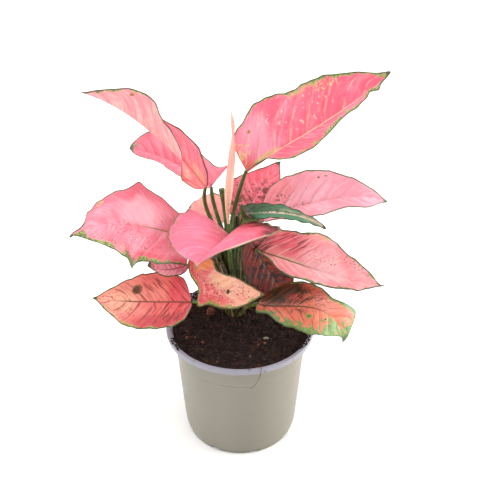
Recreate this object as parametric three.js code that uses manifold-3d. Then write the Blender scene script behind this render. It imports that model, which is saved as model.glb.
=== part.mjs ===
// A potted Chinese evergreen with pink leaves: a plastic grower's pot full of potting soil, the plant's
// green stem with its leaf stalks, its broad pink blades and one new leaf that is still rolled up.
// Millimetres, +Z up, seen from the front along +Y. The origin is the centre of the pot's underside.
import * as THREE from "three";
import { mergeVertices } from "three/addons/utils/BufferGeometryUtils.js";
import Module from "manifold-3d";

const wasm = await Module();
wasm.setup();

// ---- Driving dimensions -------------------------------------------------------------------------

// Pot: a round 12 cm grower's pot with a rim that stands out, and a faint step in its wall.
const POT_HEIGHT = 101;
const RIM_RADIUS = 60;
const RIM_HEIGHT = 4;
const RIM_WIDTH = 3.6;
const RIM_ROUND = 1;
const RIM_ROOT_RADIUS = 55.6;
const NECK_RADIUS = 53.6;
const NECK_HEIGHT = 93;
const FUNNEL_RADIUS = 52.4;
const FUNNEL_HEIGHT = 95;
const STEP_RADIUS = 52;
const STEP_HEIGHT = 79;
const STEP_DEPTH = 0.5;
const SHOULDER_RADIUS = 45.6;
const SHOULDER_HEIGHT = 9;
const FOOT_RADIUS = 43;
const WALL = 1.4;
const FLOOR = 2;
const POT_SIDES = 48;
const DRAIN_COUNT = 8;
const DRAIN_WIDTH = 8;
const DRAIN_HEIGHT = 2.6;
const DRAIN_DEPTH = 6;
const FIRST_DRAIN = 0.35;

// Soil: fills the pot to just under the rim, heaped a little round the stem.
const SOIL_RADIUS = 53;
const SOIL_LEVEL = 98;
const SOIL_HEAP = 3.5;
const SOIL_HEAP_RADIUS = 22;
const SOIL_LUMP = 1.1;
const SOIL_RINGS = 8;
const SOIL_SIDES = 36;

// Stem: a short cane with the stalks round it, each in the sheath that its foot forms.
const CROWN = { x: -4, y: 18 };
const STEM_FOOT = 72;
const STEM_SHOULDER = 107;
const STEM_TOP = 168;
const STEM_RADIUS = 7;
const STEM_TOP_RADIUS = 4.6;
const STEM_SIDES = 12;
const STALK_SIDES = 6;
const STALK_STEPS = 8;
const STALK_RADIUS = 1.7;
const STALK_END_RADIUS = 1;
const STALK_END_SHARE = 0.9;
const SHEATH_RADIUS = 3.4;
const SHEATH_SHARE = 0.6;
const STUB_RADIUS = 2.3;

// How much sooner a stalk ends that meets its blade at a right angle.
const CROSS_PLAY = 1.3;

// Blades.
const BLADE_THICKNESS = 0.8;
const RIB_DEPTH = 0.9;
const RIB_TAPER = 0.8;
const BLADE_ROWS = 16;
const HALF_COLUMNS = 3;
const BASE_HALF_WIDTH = 1;
const TIP_HALF_WIDTH = 0.45;
const WAVE_START = [2.6, 0.8];
const LOBE_RISE = 12;

// The rolled leaf: its radius at shares of its length.
const ROLL_PROFILE = [[0, 1.9], [0.4, 3.4], [0.62, 2.7], [0.8, 1.1], [0.88, 1.4], [1, 0.4]];
const ROLL_SIDES = 8;
const ROLL_STEPS = 14;

// The play between two solids that touch on the real plant.
const GAP = 0.3;

// ---- Materials ----------------------------------------------------------------------------------

const plastic = (color) => new THREE.MeshStandardMaterial({ color, roughness: 0.5, metalness: 0 });
const plantSkin = (color) => new THREE.MeshStandardMaterial({ color, roughness: 0.45, metalness: 0 });

const MATERIALS = {
  pot: plastic(0xaaa699),
  soil: new THREE.MeshStandardMaterial({ color: 0x2e1d17, roughness: 1, metalness: 0 }),
  stem: plantSkin(0x5d7436),
  pink: plantSkin(0xff8fa6),
  coral: plantSkin(0xf2766e),
  green: plantSkin(0x6f9277),
  cream: plantSkin(0xf6cdb8),
};

// ---- Solids -------------------------------------------------------------------------------------

/** A closed geometry as a manifold-3d solid. */
function solidOf(geometry) {
  const bare = geometry.clone();
  bare.deleteAttribute("normal");
  bare.deleteAttribute("uv");
  const merged = mergeVertices(bare, 1e-4);
  return new wasm.Manifold(new wasm.Mesh({
    numProp: 3,
    vertProperties: merged.attributes.position.array,
    triVerts: new Uint32Array(merged.index.array),
  }));
}

/** A manifold-3d solid as a geometry. */
function geometryOf(solid) {
  const mesh = solid.getMesh();
  const geometry = new THREE.BufferGeometry();
  geometry.setAttribute("position", new THREE.BufferAttribute(mesh.vertProperties, 3));
  geometry.setIndex(new THREE.BufferAttribute(mesh.triVerts, 1));
  geometry.computeVertexNormals();
  return geometry;
}

/** The closed solid between two grids of points that match: front faces outwards, back the other way. */
function solidBetween(front, back) {
  const rows = front.length;
  const columns = front[0].length;
  const points = [...front.flat(), ...back.flat()];
  const at = (side, i, j) => side * rows * columns + i * columns + j;
  const faces = [];
  for (let i = 0; i + 1 < rows; i++) {
    for (let j = 0; j + 1 < columns; j++) {
      for (const side of [0, 1]) {
        const [a, b] = [at(side, i, j), at(side, i, j + 1)];
        const [c, d] = [at(side, i + 1, j + 1), at(side, i + 1, j)];
        const pair = [[a, b, d], [b, c, d]];
        pair.forEach((face) => faces.push(...(side ? face.reverse() : face)));
      }
    }
  }
  const edge = [];
  for (let j = 0; j < columns; j++) edge.push([0, j]);
  for (let i = 1; i < rows; i++) edge.push([i, columns - 1]);
  for (let j = columns - 2; j >= 0; j--) edge.push([rows - 1, j]);
  for (let i = rows - 2; i > 0; i--) edge.push([i, 0]);
  edge.forEach(([i, j], n) => {
    const [k, l] = edge[(n + 1) % edge.length];
    faces.push(at(0, i, j), at(1, i, j), at(0, k, l));
    faces.push(at(0, k, l), at(1, i, j), at(1, k, l));
  });
  const geometry = new THREE.BufferGeometry().setFromPoints(points);
  geometry.setIndex(faces);
  geometry.computeVertexNormals();
  return geometry;
}

/** A closed tube of varying radius along a curve, with round ends cut square. */
function taperedTube(curve, radiusAt, sides, steps) {
  const front = [];
  const frames = curve.computeFrenetFrames(steps, false);
  for (let i = 0; i <= steps; i++) {
    const centre = curve.getPoint(i / steps);
    const ring = [];
    for (let k = 0; k < sides; k++) {
      const angle = (k / sides) * 2 * Math.PI;
      ring.push(centre.clone()
        .addScaledVector(frames.normals[i], radiusAt(i / steps) * Math.cos(angle))
        .addScaledVector(frames.binormals[i], radiusAt(i / steps) * Math.sin(angle)));
    }
    front.push(ring);
  }
  const points = [...front.flat(), curve.getPoint(0), curve.getPoint(1)];
  const [first, last] = [points.length - 2, points.length - 1];
  const faces = [];
  for (let k = 0; k < sides; k++) {
    const next = (k + 1) % sides;
    for (let i = 0; i < steps; i++) {
      const [a, b, c, d] = [i * sides + k, i * sides + next, (i + 1) * sides + next, (i + 1) * sides + k];
      faces.push(a, b, d, b, c, d);
    }
    faces.push(first, next, k);
    faces.push(last, steps * sides + k, steps * sides + next);
  }
  const geometry = new THREE.BufferGeometry().setFromPoints(points);
  geometry.setIndex(faces);
  geometry.computeVertexNormals();
  return geometry;
}

/** The cubic curve that passes through four points at 0, 1/3, 2/3 and 1. */
function curveThrough(points) {
  const [a, b, c, d] = points.map((p) => new THREE.Vector3(...p));
  const mix = (wa, wb, wc, wd) => new THREE.Vector3()
    .addScaledVector(a, wa / 6)
    .addScaledVector(b, wb / 6)
    .addScaledVector(c, wc / 6)
    .addScaledVector(d, wd / 6);
  return new THREE.CubicBezierCurve3(a, mix(-5, 18, -9, 2), mix(2, -9, 18, -5), d);
}

// ---- Pot ----------------------------------------------------------------------------------------

/** Inner radius of the pot's wall at a height. */
function potInside(z) {
  const [low, high] = [SHOULDER_HEIGHT, STEP_HEIGHT];
  return THREE.MathUtils.mapLinear(z, low, high, SHOULDER_RADIUS, STEP_RADIUS) - WALL;
}

/** The pot: one moulding with a flat floor, a flared wall with a faint step, and a funnel inside its rim. */
function potGeometry() {
  const outline = [
    [0, 0],
    [FOOT_RADIUS, 0],
    [SHOULDER_RADIUS, SHOULDER_HEIGHT],
    [STEP_RADIUS, STEP_HEIGHT],
    [STEP_RADIUS + STEP_DEPTH, STEP_HEIGHT + STEP_DEPTH],
    [NECK_RADIUS, NECK_HEIGHT],
    [RIM_ROOT_RADIUS, POT_HEIGHT - RIM_HEIGHT],
    [RIM_RADIUS, POT_HEIGHT - RIM_HEIGHT],
    [RIM_RADIUS, POT_HEIGHT - RIM_ROUND],
    [RIM_RADIUS - RIM_ROUND, POT_HEIGHT],
    [RIM_RADIUS - RIM_WIDTH, POT_HEIGHT],
    [FUNNEL_RADIUS, FUNNEL_HEIGHT],
    [potInside(STEP_HEIGHT), STEP_HEIGHT],
    [potInside(SHOULDER_HEIGHT), SHOULDER_HEIGHT],
    [FOOT_RADIUS - WALL, FLOOR],
    [0, FLOOR],
  ].map(([radius, height]) => new THREE.Vector2(radius, height));
  let pot = solidOf(new THREE.LatheGeometry(outline, POT_SIDES).rotateX(Math.PI / 2));
  for (let n = 0; n < DRAIN_COUNT; n++) {
    const notch = new THREE.BoxGeometry(DRAIN_DEPTH, DRAIN_WIDTH, 2 * DRAIN_HEIGHT)
      .translate(FOOT_RADIUS, 0, 0)
      .rotateZ(((n + FIRST_DRAIN) / DRAIN_COUNT) * 2 * Math.PI);
    pot = pot.subtract(solidOf(notch));
  }
  return geometryOf(pot);
}

// ---- Soil ---------------------------------------------------------------------------------------

/** A fixed mix of waves between -1 and 1 that stands for the lumps of the soil. */
const lump = (x, y) => (
  Math.sin(0.31 * x + 1.7) * Math.cos(0.27 * y - 0.6)
  + Math.sin(0.19 * x - 0.33 * y + 4.1)
  + Math.sin(0.11 * x + 0.52 * y + 2.2)
) / 3;

/** Height of the soil's top at a point of the pot. */
function soilHeight(x, y) {
  const distance = Math.hypot(x - CROWN.x, y - CROWN.y) / SOIL_HEAP_RADIUS;
  return SOIL_LEVEL + SOIL_HEAP * Math.exp(-(distance ** 2)) + SOIL_LUMP * lump(x, y);
}

/** The body of soil: it fills the pot, has a lumpy top and a plain hole for the stem. */
function soilGeometry() {
  const bottom = FLOOR + GAP;
  const points = [new THREE.Vector3(0, 0, soilHeight(0, 0))];
  const addRing = (radius, heightAt) => {
    for (let k = 0; k < SOIL_SIDES; k++) {
      const angle = (k / SOIL_SIDES) * 2 * Math.PI;
      const [x, y] = [radius * Math.cos(angle), radius * Math.sin(angle)];
      points.push(new THREE.Vector3(x, y, heightAt(x, y)));
    }
  };
  for (let n = 1; n <= SOIL_RINGS; n++) addRing((SOIL_RADIUS * n) / SOIL_RINGS, soilHeight);
  addRing(FUNNEL_RADIUS - 2 * GAP, () => FUNNEL_HEIGHT);
  addRing(potInside(STEP_HEIGHT) - GAP, () => STEP_HEIGHT);
  addRing(potInside(SHOULDER_HEIGHT) - GAP, () => SHOULDER_HEIGHT);
  addRing(FOOT_RADIUS - WALL - DRAIN_DEPTH / 2 - GAP, () => bottom);
  points.push(new THREE.Vector3(0, 0, bottom));
  const rings = SOIL_RINGS + 4;
  const at = (n, k) => 1 + (n - 1) * SOIL_SIDES + (k % SOIL_SIDES);
  const faces = [];
  for (let k = 0; k < SOIL_SIDES; k++) {
    faces.push(0, at(1, k), at(1, k + 1));
    for (let n = 1; n < rings; n++) {
      faces.push(at(n, k), at(n + 1, k), at(n, k + 1));
      faces.push(at(n, k + 1), at(n + 1, k), at(n + 1, k + 1));
    }
    faces.push(points.length - 1, at(rings, k + 1), at(rings, k));
  }
  const body = new THREE.BufferGeometry().setFromPoints(points);
  body.setIndex(faces);
  const holeRadius = STEM_RADIUS + 1.5 * GAP;
  const holeHeight = POT_HEIGHT;
  const hole = new THREE.CylinderGeometry(holeRadius, holeRadius, holeHeight, 2 * STEM_SIDES)
    .rotateX(Math.PI / 2)
    .translate(CROWN.x, CROWN.y, STEM_FOOT - GAP + holeHeight / 2);
  return geometryOf(solidOf(body).subtract(solidOf(hole)));
}

// ---- Blades -------------------------------------------------------------------------------------

/** A value given at the base, the middle and the tip of a leaf, at a share t of its length. */
function along(values, t) {
  const [base, middle, tip] = values;
  return t < 0.5
    ? THREE.MathUtils.lerp(base, middle, THREE.MathUtils.smoothstep(2 * t, 0, 1))
    : THREE.MathUtils.lerp(middle, tip, THREE.MathUtils.smoothstep(2 * t - 1, 0, 1));
}

/** The share of a blade's length at an even share of its stations, which lie closer at both ends. */
const stationShare = (even) => (1 - Math.cos(Math.PI * even)) / 2;

/** Half the width of a blade on one side, 0 for left and 1 for right, at a share t of its length. */
function halfWidthAt(leaf, side, t) {
  const knots = [BASE_HALF_WIDTH, ...leaf.widths[side], TIP_HALF_WIDTH];
  const outline = new THREE.SplineCurve(knots.map((width) => new THREE.Vector2(width, 0)));
  const swells = (leaf.swells ?? []).filter((swell) => swell.side === side);
  const heightOf = ({ share, span, reach }) => reach * Math.exp(-(((t - share) / span) ** 2));
  const swelling = swells.reduce((sum, swell) => sum + heightOf(swell), 0);
  const least = THREE.MathUtils.lerp(BASE_HALF_WIDTH, TIP_HALF_WIDTH, t);
  return Math.max(least, outline.getPoint(Math.acos(1 - 2 * t) / Math.PI).x + swelling);
}

/** The point of a blade's middle surface at a share t of its length and v of its width, -1 to 1. */
function bladePoint(leaf, rib, t, v) {
  const ahead = rib.getTangent(t);
  const up = new THREE.Vector3(...leaf.face[0]).lerp(new THREE.Vector3(...leaf.face[1]), t);
  up.addScaledVector(ahead, -up.dot(ahead)).normalize();
  const right = new THREE.Vector3().crossVectors(ahead, up);
  const side = v < 0 ? 0 : 1;
  const reach = Math.abs(v);
  const width = reach * halfWidthAt(leaf, side, t);
  const angle = THREE.MathUtils.degToRad(along(leaf.fold[side], t) + (leaf.curl[side] * reach) / 2);
  const fade = Math.sqrt(Math.max(0, Math.sin(Math.PI * t)));
  const wave = Math.sin(2 * Math.PI * leaf.waves * t + WAVE_START[side]) * fade;
  const lobe = leaf.lobes[side] * reach * (1 - t) ** 3 * Math.min(1, LOBE_RISE * t);
  return rib.getPoint(t)
    .addScaledVector(right, Math.sign(v) * width * Math.cos(angle))
    .addScaledVector(up, width * Math.sin(angle) + leaf.wave * reach ** 2 * wave)
    .addScaledVector(ahead, -lobe);
}

/** A blade: a thin, folded and waved sheet whose rib stands out below. */
function bladeGeometry(leaf) {
  const rib = curveThrough(leaf.rib);
  const columns = 2 * HALF_COLUMNS;
  const middle = [];
  for (let i = 0; i <= BLADE_ROWS; i++) {
    const t = stationShare(i / BLADE_ROWS);
    const row = [];
    for (let j = 0; j <= columns; j++) row.push(bladePoint(leaf, rib, t, j / HALF_COLUMNS - 1));
    middle.push(row);
  }
  const normalAt = (i, j) => {
    const across = middle[i][Math.min(j + 1, columns)].clone().sub(middle[i][Math.max(j - 1, 0)]);
    const ahead = middle[Math.min(i + 1, BLADE_ROWS)][j].clone().sub(middle[Math.max(i - 1, 0)][j]);
    return across.cross(ahead).normalize();
  };
  const offset = (i, j, distance) => middle[i][j].clone().addScaledVector(normalAt(i, j), distance);
  const ribAt = (i, j) => (j === HALF_COLUMNS ? RIB_DEPTH * (1 - (RIB_TAPER * i) / BLADE_ROWS) : 0);
  const half = BLADE_THICKNESS / 2;
  const front = middle.map((row, i) => row.map((_, j) => offset(i, j, half)));
  const back = middle.map((row, i) => row.map((_, j) => offset(i, j, -half - ribAt(i, j))));
  return solidBetween(front, back);
}

// Each leaf: rib is the line of its midrib from the base of the blade to its tip, and face the way that its
// upper side faces at the base and at the tip. widths are those of its left and right half at seven stations,
// and swells are places where the margin stands out further: at which share of the length, over what span and
// by how much. fold is the angle by which each half stands up from the rib at the base, the middle and the
// tip, curl the further bend out to the margin, wave the height of the margin's waves and waves their number,
// and lobes how far each half reaches back past the base. stalk is the way of its stalk up to the base.
const LEAVES = [
  {
    name: "leaf_upper_right",
    color: "pink",
    rib: [[5, 8, 241], [36, 3, 267], [69, -1, 293], [108, -6, 332]],
    face: [[0.1, -0.5, 0.85], [0.1, -0.6, 0.8]],
    widths: [[19, 32.5, 40, 35, 31, 20, 5.3], [4, 2, 18, 20, 7.5, 5, 2]],
    fold: [[12, 12, 12], [60, 30, 15]],
    curl: [0, 0],
    wave: 1.5,
    waves: 2.5,
    lobes: [12, 0],
    stalk: [[-5, 17, 112], [-9, 15, 160], [-4, 11, 205]],
  },
  {
    name: "leaf_upper_left",
    color: "pink",
    rib: [[-26, 8, 226], [-48, 11, 255], [-79, 8, 287.5], [-114, 2, 311]],
    face: [[0.2, -0.8, 0.5], [0.6, 0.5, 0.7]],
    widths: [[10, 15.5, 16, 15, 24, 11, 2], [5, 10.5, 16.5, 13, 8, 4, 1]],
    fold: [[20, 80, 75], [25, 45, 80]],
    curl: [0, 0],
    wave: 0.8,
    waves: 2,
    lobes: [-12, 0],
    stalk: [[-6, 17, 112], [-13, 14, 165], [-24, 11, 200]],
  },
  {
    name: "leaf_upper_left_behind",
    color: "pink",
    rib: [[-22, 22, 218], [-41, 26, 231], [-61, 24, 244], [-83, 16, 256]],
    face: [[0, -0.7, 0.7], [0, -0.7, 0.7]],
    widths: [[5, 9, 12, 10, 8, 8, 6], [20, 18, 18, 20, 21, 15, 6]],
    fold: [[20, 20, 20], [5, 5, 5]],
    curl: [40, 0],
    wave: 2,
    waves: 2.5,
    lobes: [0, 10],
    stalk: [[-5, 19, 112], [-11, 16, 168], [-18, 18, 196]],
  },
  {
    name: "leaf_left",
    color: "pink",
    rib: [[-39, 2, 184], [-69, -6, 199], [-99, -18, 210], [-127, -30, 206]],
    face: [[0, -0.6, 0.8], [-0.2, -0.6, 0.8]],
    widths: [[20.5, 23, 28, 28, 21, 10.5, 0.6], [12, 20, 31, 30, 21, 4.5, 2.2]],
    swells: [{ side: 1, share: 0.41, span: 0.05, reach: 5 }, { side: 1, share: 0.8, span: 0.03, reach: 3 }],
    fold: [[10, 10, 10], [5, 5, 5]],
    curl: [-20, -20],
    wave: 1.5,
    waves: 2.5,
    lobes: [6, 0],
    stalk: [[-6, 17, 108], [-15, 11, 140], [-29, 7, 166]],
  },
  {
    name: "leaf_centre",
    color: "pink",
    rib: [[-8, -2, 189], [-15, -26, 198], [-24, -50, 204], [-32, -68, 204]],
    face: [[0, 0, 1], [0, 0, 1]],
    widths: [[23, 30, 43, 55, 24, 7, 2], [33, 39, 41.5, 37, 25.5, 6, 1.3]],
    fold: [[58, 48, 60], [45, 18, 5]],
    curl: [-45, -35],
    wave: 0.5,
    waves: 2,
    lobes: [4, 4],
    stalk: [[-4, 15, 112], [-7, 10, 145], [-8, 3, 172]],
  },
  {
    name: "leaf_right",
    color: "pink",
    rib: [[17, 18, 196], [47, 12, 207], [80, 4, 220], [112, -4, 221]],
    face: [[0, -0.7, 0.7], [0.1, -0.7, 0.7]],
    widths: [[12, 22.5, 25.5, 25, 16.5, 7.8, 2], [8, 8, 11, 13.5, 9.8, 10.5, 3]],
    fold: [[8, 8, 8], [20, 20, 20]],
    curl: [-10, 10],
    wave: 1.2,
    waves: 2.5,
    lobes: [0, 0],
    stalk: [[-2, 19, 108], [2, 22, 145], [9, 20, 174]],
  },
  {
    name: "leaf_back_right",
    color: "coral",
    rib: [[5, 26, 190], [13, 32, 201], [21, 40, 211], [32, 50, 224]],
    face: [[0, -0.7, 0.7], [0, -0.7, 0.7]],
    widths: [[10, 17, 21, 21, 15, 7.5, 3], [7, 12, 17, 18, 16, 7, 1.5]],
    fold: [[10, 10, 10], [10, 10, 10]],
    curl: [0, 0],
    wave: 1,
    waves: 2,
    lobes: [0, 0],
    stalk: [[-3, 20, 108], [1, 24, 145], [3, 26, 170]],
  },
  {
    name: "leaf_folded_green",
    color: "green",
    rib: [[5, 4, 206], [24, -4, 207], [46, -14, 211], [65, -27, 213]],
    face: [[0, 0.78, 0.62], [0, 0.78, 0.62]],
    widths: [[13, 14, 8, 8, 7, 5, 3], [14, 18, 24, 21, 15, 12.5, 10]],
    fold: [[5, 5, 5], [5, 5, 5]],
    curl: [0, 0],
    wave: 0.6,
    waves: 2,
    lobes: [0, 0],
    stalk: [[-2, 17, 110], [-1, 13, 150], [1, 8, 182]],
  },
  {
    name: "leaf_lower_right",
    color: "pink",
    rib: [[13, 4, 171], [41, -6, 167], [76, -16, 160], [111, -28, 160]],
    face: [[0, -0.5, 0.85], [0.1, -0.5, 0.85]],
    widths: [[11, 17.5, 23.5, 31, 20.3, 11.5, 1.3], [2, 5, 13, 13, 10.6, 6.7, 1.6]],
    fold: [[10, 10, 10], [15, 15, 15]],
    curl: [-15, -15],
    wave: 1.2,
    waves: 2.5,
    lobes: [0, 0],
    stalk: [[-2, 16, 108], [4, 9, 130], [9, 3, 152]],
  },
  {
    name: "leaf_lowest_right",
    color: "coral",
    rib: [[14, -8, 128], [39, -22, 136], [65, -36, 141], [80, -46, 119]],
    face: [[0, -0.5, 0.85], [0.5, -0.6, 0.6]],
    widths: [[10, 17.5, 21, 20.5, 14, 20.3, 9], [8, 8, 16.3, 21, 23, 16.5, 1]],
    fold: [[8, 8, 8], [8, 8, 8]],
    curl: [-20, -10],
    wave: 1.2,
    waves: 2.5,
    lobes: [0, 0],
    stalk: [[-2, 15, 106], [4, 9, 112], [9, 0, 120]],
  },
  {
    name: "leaf_front",
    color: "coral",
    rib: [[-33, -20, 177], [-26, -34, 165], [-6, -38, 158], [19, -34, 156]],
    face: [[0, -0.8, 0.6], [0, -0.7, 0.7]],
    widths: [[10.5, 12, 12, 14, 14.5, 9.5, 3.5], [5.5, 7, 7, 12, 10.3, 4.7, 1]],
    swells: [{ side: 1, share: 0.42, span: 0.05, reach: 8 }],
    fold: [[15, 0, 0], [8, 8, 8]],
    curl: [0, 0],
    wave: 1.2,
    waves: 2,
    lobes: [0, 0],
    stalk: [[-7, 14, 108], [-16, 4, 132], [-27, -9, 158]],
  },
  {
    name: "leaf_lowest_left",
    color: "coral",
    rib: [[-38, -14, 134], [-60, -22, 140], [-86, -28, 145], [-113, -32, 151]],
    face: [[0, -0.6, 0.8], [0, -0.6, 0.8]],
    widths: [[7, 16, 21, 22.3, 20, 10.2, 1.8], [16, 22.5, 24, 23, 17, 9, 2.3]],
    fold: [[6, 6, 6], [6, 6, 6]],
    curl: [-10, -10],
    wave: 0.6,
    waves: 2,
    lobes: [0, 0],
    stalk: [[-7, 16, 106], [-18, 8, 114], [-28, -3, 125]],
  },
  {
    name: "leaf_shaded",
    color: "coral",
    rib: [[8, 16, 167], [14, 13, 157], [22, 9, 146], [31, 5, 134]],
    face: [[0.2, -0.85, 0.5], [0.2, -0.85, 0.5]],
    widths: [[7.5, 13, 16, 15, 11.5, 6.5, 2], [4.7, 8.3, 10, 9.4, 7.2, 4, 1.3]],
    fold: [[8, 8, 8], [8, 8, 8]],
    curl: [0, 0],
    wave: 0.8,
    waves: 2,
    lobes: [0, 0],
    stalk: [[-2, 19, 110], [0, 21, 140], [3, 20, 158]],
  },
  {
    name: "leaf_back_left",
    color: "coral",
    rib: [[-15, 30, 178], [-23, 40, 181], [-32, 50, 181], [-42, 60, 174]],
    face: [[0, -0.6, 0.8], [0, -0.5, 0.85]],
    widths: [[7.5, 13, 16, 15, 11.5, 6.5, 2], [8.5, 15, 18, 17, 13, 7.3, 2.3]],
    fold: [[8, 8, 8], [8, 8, 8]],
    curl: [0, 0],
    wave: 1,
    waves: 2,
    lobes: [0, 0],
    stalk: [[-6, 20, 110], [-10, 24, 135], [-13, 28, 158]],
  },
  {
    name: "leaf_under_left",
    color: "coral",
    rib: [[-41, -2, 161], [-51, -7, 161], [-61, -12, 164], [-71, -17, 171]],
    face: [[0, -0.4, 0.9], [0, -0.4, 0.9]],
    widths: [[3.5, 6, 7.5, 8, 6, 3.5, 1.5], [12, 18, 20, 18, 14, 9, 4]],
    fold: [[8, 8, 8], [8, 8, 8]],
    curl: [0, 0],
    wave: 1,
    waves: 2,
    lobes: [0, 0],
    stalk: [[-7, 17, 107], [-18, 11, 124], [-31, 4, 144]],
  },
  {
    name: "leaf_low_behind",
    color: "coral",
    rib: [[-4, 36, 138], [-6, 58, 142], [-8, 82, 131], [-8, 102, 108]],
    face: [[0, -0.2, 1], [0, 0.6, 0.8]],
    widths: [[10, 18, 22, 21, 16, 9, 2.8], [10, 18, 22, 21, 16, 9, 2.8]],
    fold: [[12, 12, 12], [12, 12, 12]],
    curl: [-15, -15],
    wave: 1.2,
    waves: 2,
    lobes: [0, 0],
    stalk: [[-4, 20, 106], [-4, 26, 115], [-4, 32, 126]],
  },
  {
    name: "leaf_low_behind_left",
    color: "coral",
    rib: [[-18, 32, 145], [-42, 48, 150], [-66, 62, 141], [-88, 76, 122]],
    face: [[0, 0, 1], [-0.5, 0.4, 0.8]],
    widths: [[10, 18, 22, 21, 16, 9, 2.8], [10, 18, 22, 21, 16, 9, 2.8]],
    fold: [[12, 12, 12], [12, 12, 12]],
    curl: [-15, -15],
    wave: 1.2,
    waves: 2.5,
    lobes: [0, 0],
    stalk: [[-6, 19, 106], [-11, 24, 119], [-15, 28, 132]],
  },
  {
    name: "leaf_low_behind_right",
    color: "coral",
    rib: [[10, 34, 136], [34, 48, 137], [58, 60, 125], [78, 70, 106]],
    face: [[0, 0, 1], [0.5, 0.4, 0.8]],
    widths: [[9.4, 16.5, 20, 19, 14.5, 8, 2.6], [9.4, 16.5, 20, 19, 14.5, 8, 2.6]],
    fold: [[12, 12, 12], [12, 12, 12]],
    curl: [-15, -15],
    wave: 1.2,
    waves: 2.5,
    lobes: [0, 0],
    stalk: [[-2, 20, 106], [3, 25, 115], [7, 30, 126]],
  },
];

// ---- Rolled leaf --------------------------------------------------------------------------------

// The new leaf stands upright in the middle: line is its own way up, stalk that of its foot.
const ROLLED_LEAF = {
  line: [[-8.5, 9, 192], [-8, 7, 226], [-5, 5, 262], [-6, 4, 295]],
  stalk: [[-7, 16, 150], [-9, 13, 165], [-9, 11, 178]],
};

/** The new leaf: rolled into a slim spear with a narrow neck below its tip. */
function rolledLeafGeometry() {
  const radiusAt = (t) => {
    const next = Math.max(1, ROLL_PROFILE.findIndex(([share]) => share >= t));
    const [[from, small], [to, large]] = [ROLL_PROFILE[next - 1], ROLL_PROFILE[next]];
    return THREE.MathUtils.lerp(small, large, THREE.MathUtils.smoothstep(t, from, to));
  };
  return taperedTube(curveThrough(ROLLED_LEAF.line), radiusAt, ROLL_SIDES, ROLL_STEPS);
}

// ---- Stem and stalks ----------------------------------------------------------------------------

// The blunt end of an old stalk whose leaf is gone.
const STUB = [[-7, 17, 120], [-10, 16, 160], [-10, 15, 186], [-14, 16, 220]];

/** The way of a stalk to a blade's base, ending just short of it: the more slanted, the shorter. */
function stalkCurve(stalk, line) {
  const base = new THREE.Vector3(...line[0]);
  const way = base.clone().sub(new THREE.Vector3(...stalk[2])).normalize();
  const slant = way.angleTo(curveThrough(line).getTangent(0));
  const play = GAP + Math.sin(slant) * CROSS_PLAY;
  return curveThrough([...stalk, base.addScaledVector(way, -play).toArray()]);
}

/** The stem: the cane and every stalk that grows from it, each wider below where it is a sheath. */
function stemGeometry() {
  const outline = [
    [0, STEM_FOOT],
    [STEM_RADIUS, STEM_FOOT],
    [STEM_RADIUS, STEM_SHOULDER],
    [STEM_TOP_RADIUS, STEM_TOP],
    [0, STEM_TOP],
  ].map(([radius, height]) => new THREE.Vector2(radius, height));
  const cane = new THREE.LatheGeometry(outline, STEM_SIDES)
    .rotateX(Math.PI / 2)
    .translate(CROWN.x, CROWN.y, 0);
  const tapering = (t) => (t < STALK_END_SHARE
    ? THREE.MathUtils.lerp(SHEATH_RADIUS, STALK_RADIUS, Math.min(1, t / SHEATH_SHARE))
    : THREE.MathUtils.mapLinear(t, STALK_END_SHARE, 1, STALK_RADIUS, STALK_END_RADIUS));
  const stalks = LEAVES.map((leaf) => stalkCurve(leaf.stalk, leaf.rib));
  const stalkTube = (curve, radiusAt) => taperedTube(curve, radiusAt, STALK_SIDES, STALK_STEPS);
  const tubes = [
    ...stalks.map((curve) => stalkTube(curve, tapering)),
    stalkTube(stalkCurve(ROLLED_LEAF.stalk, ROLLED_LEAF.line), () => STALK_RADIUS),
    stalkTube(curveThrough(STUB), () => STUB_RADIUS),
  ];
  return geometryOf(tubes.reduce((stem, tube) => stem.add(solidOf(tube)), solidOf(cane)));
}

// ---- The object ---------------------------------------------------------------------------------

const plant = new THREE.Group();

/** Adds one named piece. */
function addPiece(name, geometry, material) {
  const mesh = new THREE.Mesh(geometry, material);
  mesh.name = name;
  plant.add(mesh);
}

addPiece("pot", potGeometry(), MATERIALS.pot);
addPiece("soil", soilGeometry(), MATERIALS.soil);
addPiece("stem", stemGeometry(), MATERIALS.stem);
addPiece("rolled_leaf", rolledLeafGeometry(), MATERIALS.cream);
for (const leaf of LEAVES) addPiece(leaf.name, bladeGeometry(leaf), MATERIALS[leaf.color]);

export default plant;
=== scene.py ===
"""A young pink Chinese evergreen in a 12 cm grower's pot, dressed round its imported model.

Sizes are in millimetres and angles in degrees, and each mesh is scaled to metres when it is made.
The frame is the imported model's: +Z up, -Y towards the viewer, the origin under the middle of the pot.
"""

import logging
import math
from dataclasses import dataclass, field
from enum import Enum

import bpy
import numpy as np
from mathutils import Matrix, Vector, noise


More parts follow.
